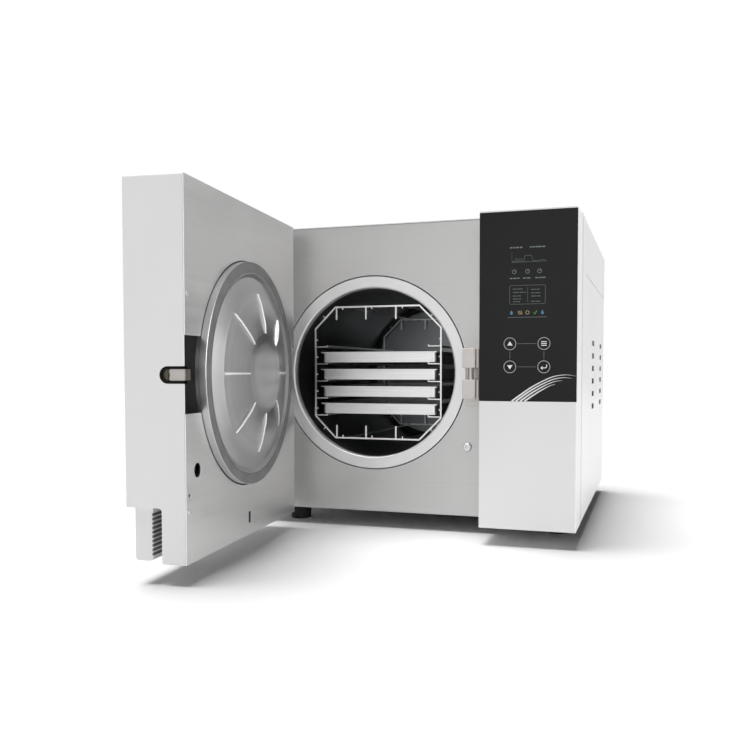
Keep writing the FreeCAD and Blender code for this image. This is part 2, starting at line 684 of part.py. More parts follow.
def rear_connections():
    low, high = "inlet_z - 13.5", "inlet_z + 13.5"
    flange = block("214", "266", "cab_deep - 2.1", "cab_deep + 0.5", "inlet_z - 16", "inlet_z + 16")
    inlet = join(flange, block("216.5", "263.5", "cab_deep - 26", "cab_deep - 2", low, high))
    hollow = block("225", "255", "cab_deep - 20", "cab_deep + 1", "inlet_z - 10", "inlet_z + 10")
    pins = [block(f"{x}", f"{x} + 2", "cab_deep - 21", "cab_deep - 5", f"inlet_z + {z}", f"inlet_z + {z} + 5")
            for x, z in ((230, -6), (239, 1), (248, -6))]
    socket = join(cut(inlet, hollow), *pins)
    case = join(block("179", "205", "cab_deep - 2.1", "cab_deep + 0.5", "inlet_z - 16", "inlet_z + 16"),
                block("181.5", "202.5", "cab_deep - 26", "cab_deep - 2", low, high))
    switch = cut(case, block("183", "201", "cab_deep - 14", "cab_deep + 1", "inlet_z - 12", "inlet_z + 12"))
    in_cabinet(group(socket, switch), "inlet_and_switch_case")
    rocker = join(block("-8.5", "8.5", "-7", "1.5", "-11", "11"), rod("x", "-3", "0", "-8.5", "8.5", "5"))
    ends = [block("-9", "9", "-8", "-3.5", low, high) for low, high in (("-12", "-5"), ("5", "12"))]
    in_cabinet(cut(rocker, *ends), "power_rocker", "192", "cab_deep", "inlet_z")

    ports = []
    for x in ("60", "95"):
        pipe = rod("y", x, "inlet_z", "cab_deep - 20", "cab_deep + 6", "6.5")
        collar = rod("y", x, "inlet_z", "cab_deep - 2.1", "cab_deep + 1", "10")
        bore = rod("y", x, "inlet_z", "cab_deep - 21", "cab_deep + 7", "3.5")
        ports.append(cut(join(pipe, collar), bore))
    in_cabinet(group(*ports), "drain_ports")
    cup = join(rod("y", "250", "320", "cab_deep - 60", "cab_deep", "25.5"),
               rod("y", "250", "320", "cab_deep - 2.1", "cab_deep + 4", "29"))
    in_cabinet(cup, "air_filter")


# ---------------------------------------------------------------- door


def door_shell():
    body = new_body("door_shell")
    face = "door_back - sheet"
    pad(body, "XZ", "door_face", face, rectangle("door_left", "door_right", "door_low", "door_top"))
    round_edges(body, "3", lambda e: lies_at(e, "y", SIZES["door_face"][0]) or runs_along(e, "y"))
    inner = ("door_left + wall", "door_right - wall", "door_low + wall", "door_top - wall")
    pocket(body, "XZ", "grip_back + wall", f"{face} + 1", rectangle(*inner))
    pocket(body, "XZ", "door_face + wall", "grip_back + wall + 0.01", polygon(
        ("door_left + wall", "door_low + wall"), ("grip_x - wall", "door_low + wall"),
        ("grip_x - wall", "grip_top + wall"), ("door_right - wall", "grip_top + wall"),
        ("door_right - wall", "door_top - wall"), ("door_left + wall", "door_top - wall")))
    pocket(body, "XZ", "door_face - 1", "grip_back",
           rectangle("grip_x", "door_right + 1", "door_low - 1", "grip_top"))
    round_edges(body, "4", lambda e: lies_at(e, "y", SIZES["grip_back"][0])
                and lies_at(e, "z", SIZES["grip_top"][0]))
    middle = "axis_z - 1"
    pocket(body, "YZ", "door_right - 4", "door_right + 1",
           rectangle("door_back - 20.2", "door_back + 1", f"{middle} - 9.4", f"{middle} + 9.4"))
    pocket(body, "YZ", "door_right - 4", "door_right + 1", circle("door_back - 20.2", middle, "9.4"))
    pocket(body, "YZ", "door_left - 1", "door_left + 4",
           rectangle("-17", "door_back + 1", "notch_low", "notch_top"))
    on_door(body, "door_shell")


def inner_plate():
    body = new_body("door_inner_plate")
    pad(body, "XZ", "door_back - sheet", "door_back",
        rectangle("door_left + 0.5", "door_right - 0.5", "door_low + 0.5", "door_top - 0.5"))
    pocket(body, "XZ", "door_back - 3", "door_back + 1", circle("lid_x", "axis_z", "lid_r + 0.8"))
    pocket(body, "XZ", "door_back - 3", "door_back + 1",
           rectangle("door_right - 43", "door_right + 1", "187", "271.8"))
    pocket(body, "XZ", "door_back - 3", "door_back + 1",
           rectangle("door_left - 1", "14", "notch_low + 2", "notch_top - 3"))
    pocket(body, "XZ", "door_back - 3", "door_back + 1",
           circle("bolt_x - hinge_x", "bolt_z", "8"), circle("door_left + 337.2", "98.5", "2"),
           rectangle("door_left + 167.5", "door_left + 174.5", "39", "53"))
    on_door(body, "door_inner_plate")

    heads = []
    for z in ("317", "80.6", "33.2"):
        head = rod("y", "door_left + 337.6", z, "door_back", "door_back + 1.2", "3")
        heads.append(cut(head, block("door_left + 335.6", "door_left + 339.6", "door_back + 0.5",
                                     "door_back + 2", f"{z} - 0.4", f"{z} + 0.4")))
    on_door(group(*heads), "plate_screws")


def door_bar():
    neck = block("6", "20", "-8", "bar_front", "knuckle_low", "knuckle_top")
    bar = block("18", "262", "bar_back", "bar_front", "200", "260")
    knuckle = rod("z", "0", "0", "knuckle_low", "knuckle_top", "knuckle_r")
    posts = [rod("y", x, z, "door_face + wall", "bar_back + 1", "5")
             for x in ("40", "250") for z in ("206", "254")]
    bore = rod("z", "0", "0", "knuckle_low - 1", "knuckle_top + 1", "pin_r + 0.1")
    on_door(cut(join(neck, bar, knuckle, *posts), bore,
                rod("y", "lid_x", "axis_z", "bar_back - 1", "bar_front + 1", "8.3")), "door_bar")


def lid():
    body = new_body("pressure_lid")
    dome = [(f"{radius}", f"hub_face - {drop}") for radius, drop in DOME]
    revolve(body, "XY", polygon(
        ("0", "hub_face"), ("hub_r", "hub_face"), *dome,
        ("seal_in - valley", "lid_face - valley_deep"), ("seal_in - 0.8", "lid_face"),
        ("seal_in", "lid_face"), ("seal_in", "lid_face - 5"), ("seal_out", "lid_face - 5"),
        ("seal_out", "lid_face"), ("lid_r", "lid_face - 0.4"), ("lid_r", "lid_face - 13"),
        ("seal_in - 8", "lid_face - 13"), ("hub_r", "hub_face - 8"), ("18", "hub_face - 8"),
        ("18", "7"), ("8.1", "7"), ("8.1", "30"), ("0", "30")))
    crest = [(f"{radius}", f"hub_face - {drop} + {stand}")
             for (radius, drop), stand in zip(DOME[:0:-1], RIB_STANDS)]
    rib = pad(body, "XY", "-(rib_half)", "rib_half", polygon(
        (crest[-1][0], "hub_face - 4"), (crest[0][0], "hub_face - 15"), *crest))
    repeat_round(body, rib, "Y", 8)
    on_door(body, "pressure_lid", "lid_x", "0", "axis_z")

    body = new_body("lid_seal")
    revolve(body, "XY", polygon(
        ("seal_in + 0.1", "lid_face - 5"), ("seal_out - 0.1", "lid_face - 5"),
        ("seal_out - 0.1", "lid_face - 0.3"), ("seal_out - 2", "lid_face + 0.2"),
        ("seal_in + 2", "lid_face + 0.2"), ("seal_in + 0.1", "lid_face - 0.3")))
    on_door(body, "lid_seal", "lid_x", "0", "axis_z")

    stud = rod("y", "lid_x", "axis_z", "bar_back - 6", "29.5", "8")
    nut = doc.addObject("Part::Prism", "nut")
    nut.Polygon = 6
    nut.Circumradius = 14
    nut.Placement.Rotation = AXIS_TURN["y"]
    bind(nut, "Height", "5")
    bind(nut, "Placement.Base.x", "lid_x")
    bind(nut, "Placement.Base.y", "bar_back - 5.2")
    bind(nut, "Placement.Base.z", "axis_z")
    washer = cut(rod("y", "lid_x", "axis_z", "bar_front", "6.8", "17"),
                 rod("y", "lid_x", "axis_z", "bar_front - 1", "8", "8.4"))
    on_door(group(join(stud, nut), washer), "lid_stud_and_washer")


def latch():
    cheeks = []
    for low, high in (("claw_low - 7", "claw_low - 0.6"), ("claw_top + 0.6", "claw_top + 7")):
        cheeks.append(block("claw_x - 12", "claw_x + 12", "-12", "13", low, high))
    back = block("266", "324", "-12", "-9.5", "195", "265")
    bore = rod("z", "claw_x", "claw_y", "200", "260", "4.05")
    pin = rod("z", "claw_x", "claw_y", "claw_low - 8", "claw_top + 8", "4")
    guard = block("323.4", "325.7", "29.2", "door_back - 1.8", "claw_low", "claw_top")
    web = block("323.4", "324", "26", "30", "claw_low + 0.6", "claw_top - 0.6")
    rim = block("323.4", "325.3", "25.2", "26.6", "claw_low + 0.3", "claw_top - 0.3")
    on_door(group(cut(join(back, *cheeks), bore), pin, join(guard, web, rim)), "latch_frame")

    hook = doc.addObject("Part::Cylinder", "hook")
    bind(hook, "Radius", "claw_out")
    bind(hook, "Height", "claw_top - claw_low")
    hook.Angle = 59
    hook.Placement.Rotation = FreeCAD.Rotation(Vector(0, 0, 1), 11)
    inside = rod("z", "0", "0", "-1", "claw_top - claw_low + 1", "claw_in")
    arm = block("0", "claw_out - 1", "-5", "5", "0", "claw_top - claw_low")
    arm.Placement.Rotation = FreeCAD.Rotation(Vector(0, 0, 1), 63)
    arm.setExpression("Placement.Base.x", "5 * sin(63)")
    arm.setExpression("Placement.Base.y", "-5 * cos(63)")
    hub = rod("z", "0", "0", "0", "claw_top - claw_low", "9")
    claw = cut(join(cut(hook, inside), arm, hub), rod("z", "0", "0", "-1", "claw_top - claw_low + 1", "4.08"))
    on_door(claw, "latch_claw", "claw_x", "claw_y", "claw_low", "claw_rest")
    motor = join(rod("z", "225", "30", "150", "196", "11"), block("205", "258", "14", "36", "120", "150"))
    on_door(motor, "latch_motor")


def handle():
    body = new_body("door_grip")
    pad(body, "XY", "grip_low", "grip_top", rectangle("grip_x + 6", "door_right - 2.6", "-13.8", "7.4"))
    round_edges(body, "4", lambda e: runs_along(e, "x") and lies_at(e, "z", SIZES["grip_low"][0]))
    groove = pocket(body, "XY", "grip_low + 6", "grip_low + 9.2",
                    rectangle("grip_x + 12", "door_right - 1", "6.2", "8.4"))
    repeat(body, groove, "Z", "groove_step", 10)
    on_door(body, "door_grip")


# ---------------------------------------------------------------- rack and trays


def octagon(half, flat):
    return ((f"-({flat})", f"-({half})"), (flat, f"-({half})"), (half, f"-({flat})"), (half, flat),
            (flat, half), (f"-({flat})", half), (f"-({half})", flat), (f"-({half})", f"-({flat})"))


def rack_frame(front):
    """One end of the rack: eight strips, with fingers on the lowest and the uppermost."""
    outer = octagon("rack_half", "rack_flat")
    inner = octagon("rack_half - rack_bar", "rack_flat - rack_bar * 0.414")
    back = f"{front} + rack_bar"
    ends = {0: ("-(rack_half - 0.4)", "-(rack_half - 20.5)"), 4: ("rack_half - 20.5", "rack_half - 0.4")}
    strips = []
    for k in range(8):
        after = (k + 1) % 8
        strip = new_body("rack_strip")
        pad(strip, "XZ", front, back, polygon(outer[k], outer[after], inner[after], inner[k]))
        if k in ends:
            strip = join(strip, *[block(f"{x} - 1.2", f"{x} + 1.2", front, back, *ends[k])
                                  for x in FINGERS])
        strips.append(strip)
    return strips


def rack():
    last = "rack_front + rack_deep - rack_bar"
    pieces = [*rack_frame("rack_front"), *rack_frame(last)]
    for level in range(RAIL_LEVELS):
        top = f"rail_low - axis_z + {level} * rail_step"
        for low, high, inner, edge in (
                ("-(rack_half - rack_bar)", "-(rail_in)", "-(rail_in + 1.6)", "-(rail_in)"),
                ("rail_in", "rack_half - rack_bar", "rail_in", "rail_in + 1.6")):
            strip = block(low, high, "rack_front", "rack_front + rack_deep", f"{top} - 3.2", f"{top} - 1.6")
            lip = block(inner, edge, "rack_front", "rack_front + rack_deep", f"{top} - 3.2", top)
            pieces.append(join(strip, lip))
    for x in ("-45", "45"):
        for low, high in (("-(rack_half)", "-(rack_half - rack_bar)"), ("rack_half - rack_bar", "rack_half")):
            pieces.append(block(f"{x} - 1.5", f"{x} + 1.5", "rack_front + rack_bar", last, low, high))
    in_cabinet(group(*pieces), "tray_rack", "rack_x", z="axis_z")


def trays():
    for number in range(TRAYS):
        name = f"tray_{number + 1}"
        body = new_body(name)
        half = "tray_half - tray_lip"
        pad(body, "XY", "0", "tray_high", rectangle(f"-({half})", half, "tray_lip", "tray_long - tray_lip"))
        rim = rectangle("-tray_half", "tray_half", "0", "tray_long")
        pad(body, "XY", "tray_high - 1.4", "tray_high", rim)
        round_edges(body, "5", lambda e: runs_along(e, "z"))
        inset = f"{half} - tray_wall"
        pocket(body, "XY", "tray_wall", "tray_high + 1",
               rectangle(f"-({inset})", inset, "tray_lip + tray_wall", "tray_long - tray_lip - tray_wall"))
        in_cabinet(body, name, "rack_x / 2", "tray_front", f"rail_low + 0.1 + {number} * rail_step")


for build in (base_pan, feet, front_panel, side_covers, top_rail, upper_cover, rear_panel, chamber,
              hinge_and_striker, console, tanks, pumps_and_boiler, cooling_fan, electronics,
              rear_connections, door_shell, inner_plate, door_bar, lid, latch,
              handle, rack, trays):
    build()
doc.recompute()

for obj in doc.Objects:
    if {"Invalid", "Error"} & set(obj.State):
        raise ValueError(f"{obj.Name} ({obj.Label}) failed: {obj.State}")
for obj in nodes:
    if obj.Shape.isNull() or not obj.Shape.isValid() or not obj.Shape.Solids:
        raise ValueError(f"{obj.Label} has no sound solid")

os.makedirs("parts", exist_ok=True)
for obj in nodes:
    obj.Shape.exportStep(f"parts/{obj.Label}.step")
print(len(nodes), "nodes written")
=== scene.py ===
"""Benchtop autoclave: looks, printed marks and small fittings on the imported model.

Floor, lights and camera come with it. Lengths in the drawing code are millimetres. Each piece is drawn in
the cabinet's or the door's own coordinates and put where the frame has it.
"""

import json
import math

import bmesh
import bpy
from mathutils import Matrix, Vector


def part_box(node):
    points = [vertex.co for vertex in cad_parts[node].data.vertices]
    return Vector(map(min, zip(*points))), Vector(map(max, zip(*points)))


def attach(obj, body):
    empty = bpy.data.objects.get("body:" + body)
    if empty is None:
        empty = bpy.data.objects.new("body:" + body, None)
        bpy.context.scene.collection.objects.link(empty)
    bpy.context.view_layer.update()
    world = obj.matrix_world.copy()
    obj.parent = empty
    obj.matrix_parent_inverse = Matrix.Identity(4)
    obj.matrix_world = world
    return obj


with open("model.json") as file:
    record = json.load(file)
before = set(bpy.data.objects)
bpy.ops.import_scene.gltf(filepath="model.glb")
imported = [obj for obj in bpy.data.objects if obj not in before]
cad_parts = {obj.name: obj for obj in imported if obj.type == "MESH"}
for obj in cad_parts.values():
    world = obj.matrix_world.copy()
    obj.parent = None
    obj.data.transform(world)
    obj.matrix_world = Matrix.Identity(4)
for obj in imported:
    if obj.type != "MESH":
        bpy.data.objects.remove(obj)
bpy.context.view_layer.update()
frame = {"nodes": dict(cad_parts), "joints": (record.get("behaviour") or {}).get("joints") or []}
nodes = frame["nodes"]

MM = 0.001


def middle(node):
    low, high = (Vector(corner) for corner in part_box(node))
    return (low + high) / 2


# Two ways to say where something is, in millimetres, both with heights from the table. CABINET has the
# chamber's axis at x = 0 and the front panel's face at y = 0. DOOR has the hinge pin at the origin, and
# the door is shut in it.
hinge = next(joint for joint in frame["joints"] if joint["name"] == "door_hinge")
SWING = math.radians(hinge["range_deg"][1])
PIN = Vector((hinge["pos_m"][0], hinge["pos_m"][1], 0))
PANEL_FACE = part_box("front_panel")[0][1]
CABINET = Matrix.Translation((middle("chamber_flange").x, PANEL_FACE, 0)) @ Matrix.Scale(MM, 4)
DOOR = Matrix.Translation(PIN) @ Matrix.Rotation(-SWING, 4, "Z") @ Matrix.Scale(MM, 4)
TO_CABINET = CABINET.inverted()
TO_DOOR = DOOR.inverted()


def door_corner(node, corner):
    """A node's extent seen from the hinge pin, with the door shut."""
    mesh = nodes[node].data
    points = [TO_DOOR @ v.co for v in mesh.vertices]
    pick = min if corner == 0 else max
    return Vector([pick(p[k] for p in points) for k in range(3)])


FREE_EDGE = door_corner("door_shell", 1).x
PLATE_FACE = door_corner("door_inner_plate", 1).y

# ---------------------------------------------------------------- camera

EYE = (0.33769, -1.18759, 0.23498)
PITCH, HEADING = 87.74, 17.63
SENSOR, LENS = 36, 39.01
SHIFT = (-0.02836, 0.0353)

camera = bpy.data.objects.new("camera", bpy.data.cameras.new("camera"))
bpy.context.scene.collection.objects.link(camera)
camera.location = EYE
camera.rotation_euler = (math.radians(PITCH), 0, math.radians(HEADING))
camera.data.sensor_width = SENSOR
camera.data.lens = LENS
camera.data.shift_x, camera.data.shift_y = SHIFT
bpy.context.scene.camera = camera

# ---------------------------------------------------------------- materials


class Look:
    """A Principled material with its procedural detail, laid out in a piece's own coordinates."""

    def __init__(self, name, metallic=0.0, **sockets):
        self.material = bpy.data.materials.new(name)
        self.material.use_nodes = True
        self.tree = self.material.node_tree
        self.shader = self.tree.nodes["Principled BSDF"]
        self.shader.inputs["Metallic"].default_value = metallic
        for socket, value in sockets.items():
            self.shader.inputs[socket.replace("_", " ")].default_value = value
        self.place = self.tree.nodes.new("ShaderNodeTexCoord").outputs["Object"]
        self.normal = None

    def add(self, kind, links, **settings):
        node = self.tree.nodes.new("ShaderNode" + kind)
        for name, value in settings.items():
            setattr(node, name, value)
        for name, value in links.items():
            if isinstance(value, bpy.types.NodeSocket):
                self.tree.links.new(value, node.inputs[name])
            else:
                node.inputs[name].default_value = value
        return node

    def spread(self, stretch=(1, 1, 1), turn=0.0):
        """Coordinates turned about the upright axis and then stretched."""
        turned = self.add("Mapping", {"Vector": self.place, "Rotation": (0, 0, turn)})
        return self.add("Mapping", {"Vector": turned.outputs[0], "Scale": stretch}).outputs[0]

    def noise(self, scale, detail=3.0, stretch=(1, 1, 1), turn=0.0, sharpness=0.5):
        where = self.spread(stretch, turn)
        links = {"Vector": where, "Scale": scale, "Detail": detail, "Roughness": sharpness}
        return self.add("TexNoise", links).outputs["Fac"]

    def cells(self, scale, output="Color"):
        return self.add("TexVoronoi", {"Vector": self.spread(), "Scale": scale}).outputs[output]

    def ramp(self, pattern, low, high, start=0.35, end=0.65):
        node = self.add("ValToRGB", {"Fac": pattern})
        for stop, position, colour in zip(node.color_ramp.elements, (start, end), (low, high)):
            stop.position = position
            stop.color = (*colour, 1)
        return node.outputs["Color"]

    def colour(self, pattern, low, high, start=0.35, end=0.65):
        self.tree.links.new(self.ramp(pattern, low, high, start, end), self.shader.inputs["Base Color"])
        return self

    def rough(self, pattern, low, high):
        links = {"Value": pattern, "From Min": 0.3, "From Max": 0.7, "To Min": low, "To Max": high}
        self.tree.links.new(self.add("MapRange", links).outputs[0], self.shader.inputs["Roughness"])
        return self

    def bump(self, pattern, depth, strength=1.0):
        """Relief of the given depth in millimetres; each call adds to the ones before it."""
        links = {"Height": pattern, "Distance": depth * MM, "Strength": strength}
        if self.normal:
            links["Normal"] = self.normal
        self.normal = self.add("Bump", links).outputs[0]
        self.tree.links.new(self.normal, self.shader.inputs["Normal"])
        return self


def grey(level, warmth=0.0):
    return (level * (1 + warmth), level, level * (1 - warmth))


def moulded(name, level, roughness=0.42, texture=1400, gloss=0.4):
    """Fine spark-eroded texture of a moulded housing."""
    look = Look(name, Specular_IOR_Level=gloss)
    look.colour(look.noise(5, 4), grey(level * 0.975), grey(level * 1.01))
    look.rough(look.noise(60, 4), roughness - 0.05, roughness + 0.07)
    return look.bump(look.noise(texture, 2), 0.05, 0.35)


def powder_coat(name, level, roughness=0.38):
    """Powder-coated sheet with its slight orange peel."""
    look = Look(name, Coat_Weight=0.15, Coat_Roughness=0.3)
    look.colour(look.noise(4, 3), grey(level * 0.98), grey(level * 1.01))
    look.rough(look.noise(90, 3), roughness - 0.05, roughness + 0.06)
    return look.bump(look.noise(420, 3), 0.06, 0.45).bump(look.noise(2400, 1), 0.02, 0.25)


def brushed(name, level, roughness, turn=0.0):
    """Steel sheet brushed from side to side, with faint cloudy patches."""
    look = Look(name, metallic=1.0)
    stretch, warmth, contrast = (0.5, 1, 40), 0.006, 0.035
    streaks = look.noise(12, 5, stretch, turn, 0.65)
    clouds = look.noise(7, 4, sharpness=0.6)
    mixed = look.add("Mix", {"Factor": 0.35, "A": streaks, "B": clouds}, data_type="FLOAT").outputs[0]
    look.colour(mixed, grey(level * (1 - contrast), warmth), grey(level * (1 + contrast), warmth), 0.38, 0.62)
    look.rough(mixed, roughness - 0.05, roughness + 0.07)
    return look.bump(streaks, 0.03, 0.35)


def satin(name, level, roughness, warmth=0.0, relief=500):
    """Steel with an even satin or polished finish and faint handling marks."""
    look = Look(name, metallic=1.0)
    clouds = look.noise(18, 5, sharpness=0.6)
    look.colour(clouds, grey(level * 0.93, warmth), grey(level * 1.04, warmth))
    look.rough(clouds, roughness - 0.04, roughness + 0.07)
    return look.bump(look.noise(relief, 3), 0.02, 0.18)


def cast(name, colour, roughness, metallic=1.0, grain=260):
    """Grainy casting, or a moulding of any colour."""
    look = Look(name, metallic=metallic)
    light = tuple(min(1.0, c * 1.12) for c in colour)
    look.colour(look.noise(grain / 4, 4), tuple(c * 0.86 for c in colour), light)
    look.rough(look.noise(40, 3), roughness - 0.06, roughness + 0.1)
    return look.bump(look.noise(grain, 4), 0.12, 0.5)


def spangled(name, level):
    """Galvanised sheet with its crystal pattern."""
    look = Look(name, metallic=1.0)
    crystals = look.cells(120)
    fine = look.noise(300, 3)
    mixed = look.add("Mix", {"Factor": 0.25, "A": crystals, "B": fine}, data_type="FLOAT").outputs[0]
    look.colour(mixed, grey(level * 0.8, -0.01), grey(level * 1.1, -0.01), 0.2, 0.8)
    look.rough(crystals, 0.34, 0.5)
    return look.bump(crystals, 0.02, 0.3)


def rubbery(name, level, roughness):
    """Matt rubber with a dusty, uneven tone."""
    look = Look(name, Specular_IOR_Level=0.35)
    look.colour(look.noise(35, 4), grey(level * 0.85), grey(level * 1.12))
    look.rough(look.noise(80, 3), roughness - 0.08, roughness + 0.06)
    return look.bump(look.noise(900, 3), 0.05, 0.4)


def printed(name, colour, glow):
    """Ink or a lit mark on the console's film; any glow given to plain ink is painted light."""
    look = Look(name, Emission_Color=(*colour, 1), Emission_Strength=glow)
    dots = look.noise(3000, 2)
    look.colour(dots, tuple(c * 0.9 for c in colour), colour)
    look.rough(dots, 0.3, 0.45)
    return look.bump(dots, 0.01, 0.2)


LOOKS = {
    "white_plastic": moulded("white_plastic", 0.80),
    "white_paint": powder_coat("white_paint", 0.80),
    "white_grip": moulded("white_grip", 0.78, 0.46, texture=1100),
    "brushed_panel": brushed("brushed_panel", 0.51, 0.48),
    "door_plate": brushed("door_plate", 0.70, 0.42, SWING),
    "polished_steel": satin("polished_steel", 0.80, 0.32, relief=180),
    "flange_steel": satin("flange_steel", 0.73, 0.5, relief=180),
    # The chamber's steel is painted far darker than the other steels: painted shade for the inside of the
    # deep chamber.
    "chamber_steel": satin("chamber_steel", 0.29, 0.31, -0.03, relief=90),
    "striker_metal": satin("striker_metal", 0.47, 0.42, 0.05, relief=200),
    "rack_steel": satin("rack_steel", 0.72, 0.36),
    # Lighter than the lid's own steel: painted highlight on the lid's ribs.
    "bead_steel_painted_highlight": satin("bead_steel_painted_highlight", 0.80, 0.55),
    # The claw's steel is painted darker and browner: painted shade for its place deep in the latch pocket.
    "claw_metal_painted_shade": satin("claw_metal_painted_shade", 0.40, 0.5, 0.09),
    # Dark ribs in the grip's recess: painted shade.
    "grip_painted_shade": rubbery("grip_painted_shade", 0.13, 0.6),
    "galvanised": spangled("galvanised", 0.55),
    "cast_aluminium": cast("cast_aluminium", (0.56, 0.565, 0.57), 0.45),
    "brass": cast("brass", (0.72, 0.52, 0.24), 0.3, grain=700),
    "seal_rubber": rubbery("seal_rubber", 0.15, 0.5),
    "foot_rubber": rubbery("foot_rubber", 0.014, 0.65),
    "heater_rubber": cast("heater_rubber", (0.5, 0.17, 0.08), 0.6, metallic=0.0, grain=500),
    "dark_plastic": moulded("dark_plastic", 0.022, 0.45),
    "blue_plastic": cast("blue_plastic", (0.16, 0.36, 0.58), 0.4, metallic=0.0, grain=900),
    "pocket_plastic": moulded("pocket_plastic", 0.10, 0.5),
    # Near-black with little shine: painted shade, used inside the latch slot and round the lid.
    "painted_shade_black": moulded("painted_shade_black", 0.006, 0.4, gloss=0.08),
    "slot_cap": cast("slot_cap", (0.085, 0.08, 0.045), 0.35, metallic=0.0, grain=900),
    # Dark grey of the console's side gap: painted shade.
    "seam_painted_shade": moulded("seam_painted_shade", 0.05, 0.6),
}


def gloss_film(name, level, roughness):
    """Glossy printed film: deep black under a clear skin with a trace of orange peel."""
    look = Look(name, Specular_IOR_Level=0.12)
    look.colour(look.noise(900, 2), grey(level * 0.92, -0.02), grey(level * 1.06, -0.02))
    look.rough(look.noise(14, 4), roughness - 0.015, roughness + 0.02)
    return look.bump(look.noise(700, 2), 0.01, 0.1)


LOOKS["black_gloss"] = gloss_film("black_gloss", 0.012, 0.3)
LOOKS["key_face"] = gloss_film("key_face", 0.010, 0.3)
LOOKS["screen"] = gloss_film("screen", 0.02, 0.1)


def spun_steel():
    """Lid turned on a lathe: fine rings round its own axis and a slightly stretched highlight."""
    look = Look("lid_steel", metallic=1.0, Anisotropic=0.1)
    lid = TO_DOOR @ middle("pressure_lid")
    centre = DOOR @ Vector((lid.x, 0, lid.z))
    offset = look.add("VectorMath", {0: look.place, 1: centre}, operation="SUBTRACT").outputs[0]
    turned = look.add("Mapping", {"Vector": offset, "Rotation": (0, 0, SWING)}).outputs[0]
    flat = look.add("Mapping", {"Vector": turned, "Scale": (1, 0, 1)}).outputs[0]
    radius = look.add("VectorMath", {0: flat}, operation="LENGTH").outputs["Value"]
    rings = look.add("CombineXYZ", {"X": radius}).outputs[0]
    fine = look.add("TexNoise", {"Vector": rings, "Scale": 700, "Detail": 4}).outputs["Fac"]
    broad = look.add("TexNoise", {"Vector": rings, "Scale": 60, "Detail": 3}).outputs["Fac"]
    clouds = look.noise(12, 4)
    mixed = look.add("Mix", {"Factor": 0.4, "A": broad, "B": clouds}, data_type="FLOAT").outputs[0]
    look.colour(mixed, grey(0.50, -0.004), grey(0.59, -0.004))
    look.rough(mixed, 0.29, 0.35)
    tangent = look.add("VectorTransform", {"Vector": offset}, vector_type="VECTOR",
                       convert_from="OBJECT", convert_to="WORLD").outputs[0]
    look.tree.links.new(tangent, look.shader.inputs["Tangent"])
    return look.bump(fine, 0.015, 0.25)


LOOKS["lid_steel"] = spun_steel()


def tray_aluminium():
    """Drawn aluminium with fine lines along the sheet."""
    look = Look("tray_metal", metallic=1.0)
    lines = look.noise(16, 4, (0.4, 0.4, 30), sharpness=0.6)
    look.colour(lines, grey(0.72), grey(0.82))
    look.rough(lines, 0.38, 0.5)
    return look.bump(lines, 0.05, 0.35)


LOOKS["tray_metal"] = tray_aluminium()


def felt():
    """Insulation blanket of matted fibres."""
    look = Look("insulation", Sheen_Weight=0.4, Sheen_Roughness=0.6)
    fibres = look.noise(240, 6, (1, 4, 1), sharpness=0.7)
    look.colour(fibres, (0.62, 0.58, 0.48), (0.86, 0.83, 0.74))
    look.rough(fibres, 0.85, 1.0)
    return look.bump(fibres, 0.8, 0.7)


LOOKS["insulation"] = felt()


def milky_tank():
    """Cloudy blow-moulded plastic that lets some light through."""
    look = Look("tank_plastic", Transmission_Weight=0.25, IOR=1.45)
    clouds = look.noise(9, 4)
    look.colour(clouds, (0.66, 0.71, 0.75), (0.8, 0.84, 0.87))
    look.rough(clouds, 0.38, 0.5)
    return look.bump(look.noise(160, 3), 0.1, 0.3)


LOOKS["tank_plastic"] = milky_tank()


def circuit_board():
    """Green board with a grid of fine tracks."""
    look = Look("board_green", Coat_Weight=0.4, Coat_Roughness=0.2)
    grid = {"Vector": look.spread(), "Scale": 120, "Mortar Size": 0.03}
    tracks = look.add("TexBrick", grid).outputs["Fac"]
    look.colour(tracks, (0.015, 0.12, 0.06), (0.05, 0.26, 0.14), 0.2, 0.8)
    look.rough(look.noise(60, 3), 0.35, 0.5)
    return look.bump(tracks, 0.05, 0.5)


LOOKS["board_green"] = circuit_board()


def perforated_metal():
    """Case of the power supply, full of small round holes, drawn as dark spots: the dark in them is painted
    shade.
    """
    look = Look("supply_metal", metallic=1.0)
    holes = look.cells(220, output="Distance")
    rim = (0.28, 0.34)
    look.colour(holes, grey(0.05), grey(0.52), *rim)
    look.rough(look.noise(60, 3), 0.35, 0.5)
    return look.bump(look.ramp(holes, (0, 0, 0), (1, 1, 1), *rim), 0.4, 0.8)


LOOKS["supply_metal"] = perforated_metal()

# The white and ring inks glow faintly though they are only print: painted light.
INK_WHITE_GLOWING = printed("ink_white_glowing", grey(0.78), 0.04)
INK_RING_GLOWING = printed("ink_ring", grey(0.36), 0.02)
INK_GREY = printed("ink_grey", grey(0.13), 0.0)
LCD_GREY = printed("lcd_grey", (0.14, 0.16, 0.17), 0.04)
LCD_FAINT = printed("lcd_faint", (0.07, 0.078, 0.082), 0.02)
LCD_BLUE = printed("lcd_blue", (0.04, 0.17, 0.34), 0.1)
LCD_GREEN = printed("lcd_green", (0.03, 0.2, 0.07), 0.08)
LCD_AMBER = printed("lcd_amber", (0.33, 0.26, 0.1), 0.08)

# ---------------------------------------------------------------- the CAD nodes

